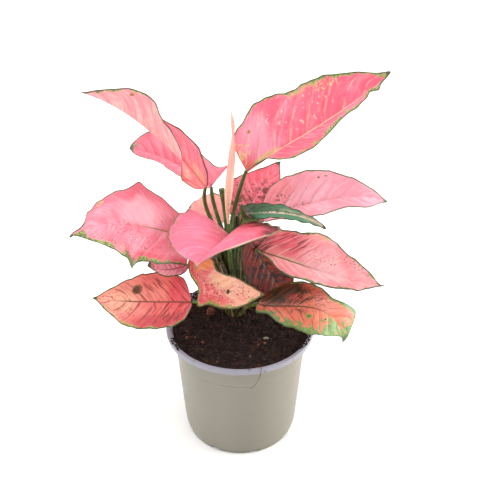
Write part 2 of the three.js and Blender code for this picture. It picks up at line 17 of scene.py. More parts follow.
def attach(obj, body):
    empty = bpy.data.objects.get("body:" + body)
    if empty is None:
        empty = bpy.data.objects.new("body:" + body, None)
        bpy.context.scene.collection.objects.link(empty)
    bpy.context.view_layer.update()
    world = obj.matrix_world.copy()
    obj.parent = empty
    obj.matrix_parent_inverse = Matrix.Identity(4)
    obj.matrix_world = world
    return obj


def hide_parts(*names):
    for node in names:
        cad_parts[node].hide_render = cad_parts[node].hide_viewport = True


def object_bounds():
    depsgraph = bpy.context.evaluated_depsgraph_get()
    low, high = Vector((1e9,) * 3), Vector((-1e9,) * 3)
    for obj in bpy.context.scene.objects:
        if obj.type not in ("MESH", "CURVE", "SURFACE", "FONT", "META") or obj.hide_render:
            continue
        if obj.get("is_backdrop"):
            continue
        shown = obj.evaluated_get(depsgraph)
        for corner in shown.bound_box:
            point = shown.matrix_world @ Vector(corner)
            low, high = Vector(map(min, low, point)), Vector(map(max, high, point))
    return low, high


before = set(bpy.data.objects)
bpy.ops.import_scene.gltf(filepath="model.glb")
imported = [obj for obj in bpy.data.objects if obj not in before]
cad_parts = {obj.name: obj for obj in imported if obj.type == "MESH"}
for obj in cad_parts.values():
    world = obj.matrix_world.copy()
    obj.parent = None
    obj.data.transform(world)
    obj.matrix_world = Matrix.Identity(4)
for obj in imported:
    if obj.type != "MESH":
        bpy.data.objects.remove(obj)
CAD_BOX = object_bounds()

LOG = logging.getLogger("chinese_evergreen")
MM = 0.001
BODY = "root"
# Where the stem leaves the soil.
CROWN = (-4, 18)

Point = tuple[float, float, float]
Line = tuple[Point, ...]
# A leaf's measure at its base, its middle and its tip, or one for all.
Ends = tuple[float, float, float] | float
Socket = bpy.types.NodeSocket
Mesh = bpy.types.Mesh
Material = bpy.types.Material
Piece = bpy.types.Object


# ---- Meshes ---------------------------------------------------------------------------------------


def linear(colour: str, level: float = 1.0) -> tuple[float, float, float, float]:
    """Turns an sRGB hex colour to linear RGBA.

    Args:
        colour: the colour as "#rrggbb".
        level: how much of its light is kept.

    Returns:
        The linear colour, opaque.
    """
    parts = [int(colour[k:k + 2], 16) / 255 for k in (1, 3, 5)]
    red, green, blue = (level * (c / 12.92 if c <= 0.04045 else ((c + 0.055) / 1.055) ** 2.4) for c in parts)
    return red, green, blue, 1.0


def stand(name: str, data: bpy.types.ID) -> Piece:
    """Puts an object in the scene, at the origin."""
    made = bpy.data.objects.new(name, data)
    bpy.context.scene.collection.objects.link(made)
    return made


def shade(mesh: Mesh, sharp: float) -> None:
    """Shades a mesh smooth, but sharp where faces meet at more than an angle."""
    mesh.polygons.foreach_set("use_smooth", [True] * len(mesh.polygons))
    mesh.set_sharp_from_angle(angle=math.radians(sharp))


def mark(mesh: Mesh, key: str, values: np.ndarray) -> None:
    """Writes a number on each point of a mesh, for its material to read."""
    mesh.attributes.new(key, "FLOAT", "POINT").data.foreach_set("value", values.astype(np.float32))


def circle(count: int) -> np.ndarray:
    """Gives evenly spaced angles round a circle, in radians."""
    return np.linspace(0, 2 * math.pi, count, endpoint=False)


@dataclass
class Form:
    """A mesh in the making, in millimetres."""

    points: np.ndarray
    faces: list[tuple[int, ...]]
    marks: dict[str, np.ndarray] = field(default_factory=dict)
    flat: np.ndarray | None = None

    def mesh(self, name: str, *materials: Material) -> Mesh:
        """Makes the Blender mesh, in metres, with its marks and its flat coordinates.

        Args:
            name: the mesh's name.
            materials: its material, if it is known yet.

        Returns:
            The mesh, shaded smooth.
        """
        made = bpy.data.meshes.new(name)
        made.from_pydata((self.points * MM).tolist(), [], self.faces)
        for key, values in self.marks.items():
            mark(made, key, values)
        if self.flat is not None:
            corners = np.empty(len(made.loops), np.int32)
            made.loops.foreach_get("vertex_index", corners)
            spread = self.flat[corners].astype(np.float32).ravel()
            made.uv_layers.new(name="spread").data.foreach_set("uv", spread)
        for material in materials:
            made.materials.append(material)
        made.polygons.foreach_set("use_smooth", [True] * len(made.polygons))
        made.update()
        return made


def grid_faces(rows: int, columns: int, start: int = 0, closed: bool = False) -> list[tuple[int, ...]]:
    """Lists the four-sided faces of a grid of points.

    Args:
        rows: the number of rows of points.
        columns: the number of points in a row.
        start: the index of the first point.
        closed: whether each row is a ring.

    Returns:
        The faces, which face along the cross product of the row's and the column's way.
    """
    across = [(j, (j + 1) % columns) for j in range(columns if closed else columns - 1)]
    base = [start + i * columns for i in range(rows)]
    return [(low + j, low + k, high + k, high + j) for low, high in zip(base, base[1:]) for j, k in across]


def closed_tube(rings: np.ndarray) -> Form:
    """Makes a closed form of rings of points, with a middle point at each end.

    Args:
        rings: the points, as (ring, point of the ring, 3).

    Returns:
        The closed form.
    """
    count, sides, _ = rings.shape
    first, last, top = count * sides, count * sides + 1, (count - 1) * sides
    faces = grid_faces(count, sides, closed=True)
    faces += [(first, (k + 1) % sides, k) for k in range(sides)]
    faces += [(last, top + k, top + (k + 1) % sides) for k in range(sides)]
    return Form(np.vstack([rings.reshape(-1, 3), rings[0].mean(axis=0), rings[-1].mean(axis=0)]), faces)


def place(name: str, mesh: Mesh, slot: str, *nodes: str) -> None:
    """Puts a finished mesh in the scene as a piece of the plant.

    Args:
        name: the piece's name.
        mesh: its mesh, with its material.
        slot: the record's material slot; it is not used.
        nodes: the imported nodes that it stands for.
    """
    piece = stand(name, mesh)
    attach(piece, BODY)
    if nodes:
        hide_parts(*nodes)
    LOG.info("%s: %d faces", name, len(mesh.polygons))


# ---- Curves and blends ----------------------------------------------------------------------------


class Curve:
    """A cubic that runs through four points at even shares of its way."""

    def __init__(self, points: Line) -> None:
        """Works out the cubic's two inner handles."""
        a, b, c, d = (np.array(p, float) for p in points)
        self.handles = (a, (-5 * a + 18 * b - 9 * c + 2 * d) / 6, (2 * a - 9 * b + 18 * c - 5 * d) / 6, d)

    def at(self, t: np.ndarray) -> np.ndarray:
        """Gives the points at shares t of the way."""
        a, b, c, d = self.handles
        t = t[..., None]
        return (1 - t) ** 3 * a + 3 * (1 - t) ** 2 * t * b + 3 * (1 - t) * t ** 2 * c + t ** 3 * d

    def ahead(self, t: np.ndarray) -> np.ndarray:
        """Gives the unit tangents at shares t of the way."""
        a, b, c, d = self.handles
        t = t[..., None]
        return unit((1 - t) ** 2 * (b - a) + 2 * (1 - t) * t * (c - b) + t ** 2 * (d - c))


def unit(vectors: np.ndarray) -> np.ndarray:
    """Scales vectors to length 1."""
    return vectors / np.maximum(np.linalg.norm(vectors, axis=-1, keepdims=True), 1e-9)


def smooth(x: np.ndarray) -> np.ndarray:
    """Eases from 0 to 1, and holds outside."""
    x = np.clip(x, 0, 1)
    return x * x * (3 - 2 * x)


def along(values: Ends, t: np.ndarray) -> np.ndarray:
    """Blends values given at a leaf's base, middle and tip, or one for all, at shares t of its length."""
    base, middle, tip = values if isinstance(values, tuple) else (values, values, values)
    return base + (middle - base) * smooth(2 * t) + (tip - middle) * smooth(2 * t - 1)


def through(knots: np.ndarray, share: np.ndarray) -> np.ndarray:
    """Gives the smooth curve through evenly spaced values.

    Args:
        knots: the values.
        share: shares of the way.

    Returns:
        The curve's value at each share.
    """
    count = len(knots) - 1
    spot = np.clip(share, 0, 1) * count
    low = np.minimum(spot.astype(int), count - 1)
    part = spot - low
    padded = np.concatenate([knots[:1], knots, knots[-1:]])
    a, b, c, d = (padded[low + k] for k in range(4))
    bend = 2 * a - 5 * b + 4 * c - d + (3 * (b - c) + d - a) * part
    return b + 0.5 * part * (c - a + bend * part)


# ---- Nodes ----------------------------------------------------------------------------------------


def add(tree: bpy.types.NodeTree, kind: str, sockets: dict | None = None, out: int | str = 0, **settings):
    """Adds a node with its settings and links.

    Args:
        tree: the node tree.
        kind: the node's type.
        sockets: the value of each input, or the output that feeds it.
        out: the output that is wanted.
        settings: the node's own properties.

    Returns:
        The wanted output, or the node where it has none.
    """
    made = tree.nodes.new(kind)
    for key, value in settings.items():
        setattr(made, key, value)
    for key, value in (sockets or {}).items():
        if isinstance(value, Socket):
            tree.links.new(value, made.inputs[key])
        else:
            made.inputs[key].default_value = value
    return made.outputs[out] if len(made.outputs) else made


@dataclass
class Growth:
    """A geometry tree in the making: what it takes in, and the plain mesh that it makes of it."""

    name: str
    inputs: dict[str, str]

    def __post_init__(self) -> None:
        """Starts the tree with its named inputs, each of a kind of socket."""
        self.tree = bpy.data.node_groups.new(self.name, "GeometryNodeTree")
        for key, kind in self.inputs.items():
            self.tree.interface.new_socket(key, in_out="INPUT", socket_type="NodeSocket" + kind)
        self.tree.interface.new_socket("Pieces", in_out="OUTPUT", socket_type="NodeSocketGeometry")
        self.given = self.tree.nodes.new("NodeGroupInput").outputs

    def end(self, geometry: Socket) -> None:
        """Ends the tree with real pieces in the tissue's material, because the export drops instances."""
        real = add(self.tree, "GeometryNodeRealizeInstances", {0: geometry})
        dressed = {"Geometry": real, "Material": self.given["Tissue"]}
        add(self.tree, "NodeGroupOutput", {0: add(self.tree, "GeometryNodeSetMaterial", dressed)})

    def grow(self, name: str, data: bpy.types.ID, values: dict) -> Mesh:
        """Runs the tree on a mesh or a curve and keeps the result as a plain mesh.

        Args:
            name: the result's name.
            data: the mesh or the curve.
            values: the value of each named input.

        Returns:
            The new mesh.
        """
        seed = stand(name + "_seed", data)
        modifier = seed.modifiers.new(name, "NODES")
        modifier.node_group = self.tree
        for item in self.tree.interface.items_tree:
            if item.in_out == "INPUT" and item.name in values:
                modifier[item.identifier] = values[item.name]
        seed.update_tag()
        mesh = bpy.data.meshes.new_from_object(seed.evaluated_get(bpy.context.evaluated_depsgraph_get()))
        mesh.name = name
        bpy.data.objects.remove(seed)
        return mesh


@dataclass
class Paint:
    """A material in the making: its tree and the colour laid on so far.

    The studio's light is strong enough to wash the floor out to white, so every colour of the plant, which
    was matched, is taken darker by the level.
    """

    name: str
    ground: str
    level: float = 0.68

    def __post_init__(self) -> None:
        """Starts the material with its ground colour."""
        self.material = bpy.data.materials.new(self.name)
        self.material.use_nodes = True
        self.tree = self.material.node_tree
        self.tree.nodes.clear()
        self.colour = linear(self.ground, self.level)
        self.spot = self.add("TexCoord", out="Object")

    def add(self, kind: str, sockets: dict | None = None, out: int | str = 0, **settings):
        """Adds a shader node, as the function add does."""
        return add(self.tree, "ShaderNode" + kind, sockets, out, **settings)

    def marks(self, *names: str) -> list[Socket]:
        """Gives the mesh's marks of some names."""
        return [self.add("Attribute", out="Fac", attribute_name=name) for name in names]

    def grain(self, size: float, detail: float = 3, where: Socket | None = None,
              stretch: Point = (1, 1, 1), seed: float = 0) -> Socket:
        """Adds noise with grains of a size.

        Args:
            size: the grain's width in millimetres, or in the units of where.
            detail: the octaves.
            where: the coordinates, if not the object's own.
            stretch: how much finer the grain is along each axis.
            seed: shifts the noise.

        Returns:
            The noise, about 0.5 on the mean.
        """
        shift = (seed * 3.7 * MM, seed * 1.9 * MM, seed * 2.3 * MM) if where is None else (0, 0, seed)
        moved = self.add("Mapping", {"Vector": where or self.spot, "Scale": stretch, "Location": shift})
        scale = 1 / (size * MM) if where is None else 1 / size
        return self.add("TexNoise", {"Vector": moved, "Scale": scale, "Detail": detail})

    def between(self, value: Socket, low: float, high: float, most: float = 1.0) -> Socket:
        """Eases a value from 0 at low to most at high, where low may be the larger."""
        first, last = (0.0, most) if low < high else (most, 0.0)
        ends = {"From Min": min(low, high), "From Max": max(low, high), "To Min": first, "To Max": last}
        return self.add("MapRange", {"Value": value, **ends}, interpolation_type="SMOOTHSTEP")

    def plus(self, base: Socket | float, *shares: tuple[Socket, float]) -> Socket:
        """Adds shares of other values to a value, each given with its factor."""
        for value, factor in shares:
            base = self.add("Math", {0: value, 1: factor, 2: base}, operation="MULTIPLY_ADD")
        return base

    def lay(self, colour: str, *covers: Socket | float | tuple) -> None:
        """Lays a colour over what is there.

        Args:
            colour: the colour.
            covers: how much of it shows: the product of values from 0 to 1. A tuple is what between takes.
        """
        cover, *others = (self.between(*cover) if isinstance(cover, tuple) else cover for cover in covers)
        for other in others:
            cover = self.add("Math", {0: cover, 1: other}, operation="MULTIPLY")
        values = {0: cover, 6: self.colour, 7: linear(colour, self.level)}
        self.colour = self.add("Mix", values, out=2, data_type="RGBA")

    def finish(self, roughness: Socket | float, height: Socket | None = None, depth: float = 0.1,
               **sockets) -> Material:
        """Ends the material with its shader.

        Args:
            roughness: the surface's roughness.
            height: the relief, 0 to 1, if any.
            depth: the relief's depth in millimetres.
            sockets: other values of the shader.

        Returns:
            The material.
        """
        values = {"Base Color": self.colour, "Roughness": roughness}
        if height is not None:
            values["Normal"] = self.add("Bump", {"Height": height, "Distance": depth * MM})
        values.update({key.replace("_", " "): value for key, value in sockets.items()})
        self.add("OutputMaterial", {"Surface": self.add("BsdfPrincipled", values)})
        return self.material


# ---- Blades ---------------------------------------------------------------------------------------


class Mark(Enum):
    """How a patch of another colour lies on a blade."""

    WASH = "soft, as a stain"
    FLECKS = "small specks"
    STREAKS = "dashes that run with the veins"
    BLOTS = "blotches a few millimetres wide"
    DOTS = "few rounded dots"
    SPOT = "one hard-edged spot"


@dataclass(frozen=True)
class Patch:
    """A part of a blade that has its own colour: along is 0 to 1, across -1 (left) to 1 (right)."""

    mark: Mark
    colour: str
    along: float
    across: float
    length: float
    width: float
    strength: float = 1.0


def patches(*rows: tuple) -> tuple[Patch, ...]:
    """Makes patches of rows: a mark, a colour, and Patch's other numbers in per cent."""
    return tuple(Patch(kind, colour, *(share / 100 for share in shares)) for kind, colour, *shares in rows)


@dataclass(frozen=True)
class Nick:
    """A place of one half's margin that stands out or is worn away.

    Its place along the blade and its width are shares of the length, and its reach is in millimetres.
    """

    side: int
    along: float
    width: float
    reach: float


@dataclass(frozen=True)
class BladeTissue:
    """Living leaf tissue with a waxy skin: satin, a little see-through, coloured by its pigments.

    The red pigment gives the pink field, chlorophyll the green margin and flecks. The skin gives a soft
    highlight, and the sunk veins break it.
    """

    field: str
    flush: str
    vein: str
    rib: str
    edge: str
    underside: str
    outline: str = "#3f4d28"
    fleck: str = "#b7bd62"
    vein_cover: float = 0.5
    rib_reach: float = 0.6
    rib_cover: float = 0.9
    level: float = 0.68
    patches: tuple[Patch, ...] = ()

    # The widths of the noises' grains, of the midrib's colour and of the margin's thin line, in millimetres.
    CLOUD = 20.0
    BLOT = 5.5
    SPECK = 1.6
    WANDER = 9.0
    DOT = 3.2
    CELL = 0.9
    RIB_WIDTH = 0.55
    OUTLINE_WIDTH = 1.1
    # How far the green margin's inner edge wanders, in widths of the margin.
    UNEVEN = 6.0
    # How much finer the streaks are across the veins, from the midrib to the margin, and from half to half.
    STREAK_STRETCH = (5.5, 2.2, 4)
    # How wide a vein's colour reaches, and how far the veins wander, in gaps from vein to vein.
    VEIN_WIDTH = 0.13
    VEIN_WANDER = 0.25
    # How much of the flush the underside lacks.
    BACK_FADE = 0.55
    # Where a noise starts to show, where it shows in full, and how much of the colour that gives.
    FLUSH_CLOUDS = (0.4, 0.6, 0.85)
    FLUSH_BLOTS = (0.48, 0.62, 0.45)
    FLUSH_STREAKS = (0.48, 0.64, 0.6)
    LATE_FLUSH = (0.5, 0.64, 0.25)
    PALE_STREAKS = (0.47, 0.34)
    BROKEN_VEIN = (0.32, 0.58)
    FLECKED = (0.5, 0.58, 0.8)
    MARKED = {
        Mark.FLECKS: (0.55, 0.63), Mark.STREAKS: (0.53, 0.6),
        Mark.BLOTS: (0.64, 0.72), Mark.DOTS: (0.6, 0.66),
    }
    # Where the veins fade out towards the margin, and where a patch and a spot end, in their own radii.
    VEINED = (1.05, 0.55)
    INSIDE_PATCH = (1.6, 0.9)
    INSIDE_SPOT = (1.3, 1.05)

    def material(self, name: str, seed: float) -> Material:
        """Builds the material of one blade.

        Args:
            name: the blade's name.
            seed: shifts the noise, so that no two blades are alike.

        Returns:
            The material. It reads the blade's UV map and its marks.
        """
        paint = Paint(name + "_tissue", self.field, self.level)
        spread = paint.add("UVMap", uv_map="spread")
        vein, reach, half, back, from_rib, room, band = paint.marks(
            "vein", "reach", "half", "back", "from_rib", "room", "band")
        clouds, blots, specks, wander, dots = (
            paint.grain(size, seed=seed + k)
            for k, size in enumerate((self.CLOUD, self.BLOT, self.SPECK, self.WANDER, self.DOT)))
        vein = paint.plus(vein, (wander, self.VEIN_WANDER))
        run = paint.add("CombineXYZ", {"X": vein, "Y": reach, "Z": half})
        streaks = paint.grain(1.0, 4, where=run, stretch=self.STREAK_STRETCH, seed=seed)
        rough_blots = paint.plus(blots, (specks, 0.3))
        noises = {Mark.FLECKS: specks, Mark.STREAKS: streaks, Mark.BLOTS: rough_blots, Mark.DOTS: dots}
        covers = {kind: [paint.between(value, *self.MARKED[kind])] for kind, value in noises.items()}

        def lay_patches(*marks: Mark) -> None:
            """Lays the patches of some kinds."""
            for patch in self.patches:
                if patch.mark in marks:
                    self._lay_patch(paint, patch, spread, clouds, specks, *covers.get(patch.mark, ()))

        paint.lay(self.underside, back)
        front = paint.plus(1.0, (back, -self.BACK_FADE))
        paint.lay(self.flush, front, (clouds, *self.FLUSH_CLOUDS))
        paint.lay(self.flush, front, (blots, *self.FLUSH_BLOTS))
        paint.lay(self.flush, (streaks, *self.FLUSH_STREAKS))
        lay_patches(Mark.WASH)
        paint.lay(self.flush, (streaks, *self.LATE_FLUSH))
        paint.lay(self.vein, (streaks, *self.PALE_STREAKS, 0.45 * self.vein_cover))
        line = paint.add("Math", {0: vein, 1: 0.5}, operation="PINGPONG")
        on_line, inner = paint.between(line, self.VEIN_WIDTH, 0.0), paint.between(reach, *self.VEINED)
        near = paint.add("Math", {0: on_line, 1: inner}, operation="MULTIPLY")
        paint.lay(self.vein, near, (blots, *self.BROKEN_VEIN), self.vein_cover)
        lay_patches(Mark.BLOTS, Mark.DOTS, Mark.STREAKS, Mark.FLECKS)
        tipward = paint.add("SeparateXYZ", {0: spread}, out="Y")
        reached = (tipward, self.rib_reach + 0.2, self.rib_reach - 0.1, self.rib_cover)
        paint.lay(self.rib, (from_rib, self.RIB_WIDTH * 1.6, self.RIB_WIDTH * 0.4), reached)
        mottle = paint.plus(0.0, (specks, 0.4), (blots, 0.6))
        depth = paint.add("Math", {0: room, 1: band}, operation="DIVIDE")
        depth = paint.plus(depth, (mottle, -self.UNEVEN))
        green = paint.between(depth, 1.15 - self.UNEVEN / 2, 0.85 - self.UNEVEN / 2)
        paint.lay(self.edge, green)
        paint.lay(self.fleck, green, (specks, *self.FLECKED))
        ragged = paint.plus(room, (specks, 0.8))
        paint.lay(self.outline, (ragged, self.OUTLINE_WIDTH + 0.6, self.OUTLINE_WIDTH + 0.2, 0.92))
        lay_patches(Mark.SPOT)
        height = paint.plus(paint.grain(self.CELL, 2, seed=seed), (streaks, 1.2), (near, -0.9))
        roughness = paint.plus(0.3, (paint.between(specks, 0.2, 0.8, 0.2), 1.0))
        return paint.finish(roughness, height, 0.16, Specular_IOR_Level=0.42, Subsurface_Weight=0.06,
                            Subsurface_Scale=0.002, Subsurface_Radius=(1.0, 0.35, 0.25))

    def _lay_patch(self, paint: Paint, patch: Patch, spread: Socket, clouds: Socket, specks: Socket,
                   *covers: Socket) -> None:
        """Lays one patch on the blade.

        Args:
            paint: the blade's paint.
            patch: the patch.
            spread: the blade's UV coordinates.
            clouds: coarse noise.
            specks: fine noise.
            covers: what its kind of mark covers inside the patch, if not all of it.
        """
        middle = ((patch.across + 1) / 2, patch.along, 0)
        away = paint.add("VectorMath", {0: spread, 1: middle}, operation="SUBTRACT")
        radii = (2 / patch.width, 1 / patch.length, 0)
        scaled = paint.add("VectorMath", {0: away, 1: radii}, operation="MULTIPLY")
        far = paint.add("VectorMath", {0: scaled}, out="Value", operation="LENGTH")
        if patch.mark is Mark.SPOT:
            inside = paint.between(paint.plus(far, (specks, 0.5)), *self.INSIDE_SPOT, patch.strength)
        else:
            inside = paint.between(paint.plus(far, (clouds, 0.8)), *self.INSIDE_PATCH, patch.strength)
        paint.lay(patch.colour, inside, *covers)


@dataclass(frozen=True)
class Blade:
    """One leaf blade. A pair of values is for its left and its right half."""

    name: str
    slot: str
    rib: Line
    stalk: Line
    face: Point
    widths: tuple[tuple[float, ...], tuple[float, ...]]
    margins: tuple[Ends, Ends]
    tissue: BladeTissue
    tip_face: Point | None = None
    fold: tuple[Ends, Ends] = (8, 8)
    curl: tuple[float, float] = (0, 0)
    wave: float = 1.2
    waves: float = 2
    lobes: tuple[float, float] = (0, 0)
    nicks: tuple[Nick, ...] = ()
    veins: int = 9

    ROWS = 96
    HALF_COLUMNS = 24
    BASE_WIDTH = 1.0
    TIP_WIDTH = 0.45
    THICKNESS = 0.55
    EDGE_THICKNESS = 0.2
    VEIN_LEAD = 0.3
    VEIN_SPREAD = 0.11
    QUILT = 0.35
    GROOVE = 0.5
    GROOVE_WIDTH = 1.3
    KEEL = 0.8
    KEEL_WIDTH = 1.1
    # The margin's waves: where those of the left and the right half start, and how far the fine ones rise
    # and how many there are for each large one.
    WAVE_STARTS = (2.6, 0.8)
    RUFFLE = 0.5
    RUFFLES = 3.1
    # The outline's unevenness: shares of the width, and how often each comes.
    RIPPLE = 0.014
    RIPPLES = 2 * math.pi * 6.3
    FRAY = 0.008
    FRAYS = 81

    def _outline(self, t: np.ndarray, side: int) -> np.ndarray:
        """Gives half the width of the blade on one side.

        Args:
            t: shares of the length.
            side: 0 for the left half, 1 for the right half.

        Returns:
            The width at each share.
        """
        knots = np.array([self.BASE_WIDTH, *self.widths[side], self.TIP_WIDTH])
        width = through(knots, np.arccos(1 - 2 * np.clip(t, 0, 1)) / math.pi)
        for nick in self.nicks:
            if nick.side == side:
                width = width + nick.reach * np.exp(-((t - nick.along) / nick.width) ** 2)
        phase = 1.7 * side + len(self.name)
        ripple = self.RIPPLE * np.sin(self.RIPPLES * t + phase)
        width = width * (1 + ripple + self.FRAY * np.sin(self.FRAYS * t + 3 * phase))
        return np.maximum(self.BASE_WIDTH + (self.TIP_WIDTH - self.BASE_WIDTH) * t, width)

    def _middle(self, t: np.ndarray, v: np.ndarray) -> tuple[np.ndarray, np.ndarray]:
        """Gives the points of the middle surface.

        Args:
            t: shares of the length, as a grid.
            v: shares across, -1 to 1, as a grid.

        Returns:
            The points, and half the width at each.
        """
        rib = Curve(self.rib)
        ahead = rib.ahead(t)
        up = np.array(self.face) * (1 - t[..., None]) + np.array(self.tip_face or self.face) * t[..., None]
        up = unit(up - ahead * np.sum(up * ahead, axis=-1, keepdims=True))
        right = np.cross(ahead, up)
        on_right = v >= 0
        reach = np.abs(v)
        width = np.where(on_right, self._outline(t, 1), self._outline(t, 0))
        fold = np.where(on_right, along(self.fold[1], t), along(self.fold[0], t))
        angle = np.radians(fold + np.where(on_right, self.curl[1], self.curl[0]) * reach / 2)
        start = np.where(on_right, self.WAVE_STARTS[1], self.WAVE_STARTS[0])
        fade = np.sqrt(np.clip(np.sin(math.pi * t), 0, 1))
        lift = self.wave * reach ** 2 * np.sin(2 * math.pi * self.waves * t + start) * fade
        ruffle = np.sin(2 * math.pi * (self.RUFFLES * self.waves * t) + 2 * start + len(self.name))
        lift = lift + self.RUFFLE * reach ** 6 * ruffle * fade
        back = np.where(on_right, self.lobes[1], self.lobes[0]) * reach * (1 - t) ** 3 * np.minimum(1, 12 * t)
        points = rib.at(t) + right * (np.sign(v) * reach * width * np.cos(angle))[..., None]
        points = points + up * (reach * width * np.sin(angle) + lift)[..., None]
        return points - ahead * back[..., None], width

    def build(self) -> None:
        """Builds the blade as a thin closed sheet with sunk veins and a keel below its midrib."""
        even = np.linspace(0, 1, self.ROWS + 1)
        shares = even - 0.45 * np.sin(2 * math.pi * even) / (2 * math.pi)
        steps = np.linspace(-1, 1, 2 * self.HALF_COLUMNS + 1)
        t, v = np.meshgrid(shares, np.sign(steps) * np.abs(steps) ** 1.25, indexing="ij")
        reach, on_right = np.abs(v), v >= 0
        middle, width = self._middle(t, v)
        normal = unit(np.cross(np.gradient(middle, axis=1), np.gradient(middle, axis=0)))
        from_rib = reach * width
        lead = self.VEIN_LEAD * reach ** 1.25 * (1 - 0.4 * t)
        vein = (t - lead) * self.veins + np.where(on_right, 0.35, 0.0)
        near = np.exp(-((vein - np.round(vein)) / self.VEIN_SPREAD) ** 2)
        fade = np.sin(math.pi * np.clip(t, 0, 1)) ** 0.5 * (1 - reach ** 3)
        quilt = self.QUILT * fade * (np.cos(2 * math.pi * vein) * -0.5 - 0.7 * near)
        groove = np.exp(-(from_rib / self.GROOVE_WIDTH) ** 2)
        relief = quilt * (1 - groove) - self.GROOVE * groove * (1 - t)
        keel = self.KEEL * np.exp(-(from_rib / self.KEEL_WIDTH) ** 2) * (1 - 0.8 * t)
        thick = self.EDGE_THICKNESS + (self.THICKNESS - self.EDGE_THICKNESS) * (1 - reach ** 4) * (1 - t ** 6)
        top = middle + normal * (relief + thick / 2)[..., None]
        low = middle + normal * (relief - thick / 2 - keel)[..., None]
        tip = np.linalg.norm(np.array(self.rib[3]) - np.array(self.rib[2])) * 3 * (1 - t)
        green = np.where(on_right, along(self.margins[1], t), along(self.margins[0], t))
        marks = {
            "vein": vein, "reach": reach, "half": np.where(on_right, 1.0, 0.0), "from_rib": from_rib,
            "room": np.minimum((1 - reach) * width, 0.35 * tip), "band": np.maximum(green, 0.05),
        }
        marks = {key: np.tile(values.ravel(), 2) for key, values in marks.items()}
        marks["back"] = np.repeat([0.0, 1.0], t.size)
        flat = np.tile(np.stack([(v + 1) / 2, t], axis=-1).reshape(-1, 2), (2, 1))
        form = Form(np.vstack([top.reshape(-1, 3), low.reshape(-1, 3)]), self._faces(*t.shape), marks, flat)
        tissue = self.tissue.material(self.name, len(self.name) + self.rib[0][2] / 10)
        mesh = form.mesh(self.name, tissue)
        shade(mesh, 60)
        place(self.name + "_blade", mesh, self.slot, self.name)

    def _faces(self, rows: int, columns: int) -> list[tuple[int, ...]]:
        """Lists the faces of a closed sheet.

        Args:
            rows: the rows of its points.
            columns: the points of a row.

        Returns:
            The faces of the top, of the underside and of the margin between them.
        """
        count = rows * columns
        rear = [tuple(reversed(face)) for face in grid_faces(rows, columns, count)]
        rim = [i * columns for i in range(rows)]
        rim += [(rows - 1) * columns + j for j in range(1, columns)]
        rim += [i * columns + columns - 1 for i in reversed(range(rows - 1))]
        rim += [j for j in reversed(range(1, columns - 1))]
        band = [(a, b, b + count, a + count) for a, b in zip(rim, rim[1:] + rim[:1])]
        return grid_faces(rows, columns) + rear + band


W, FL, ST, BL, DT, SP = Mark.WASH, Mark.FLECKS, Mark.STREAKS, Mark.BLOTS, Mark.DOTS, Mark.SPOT

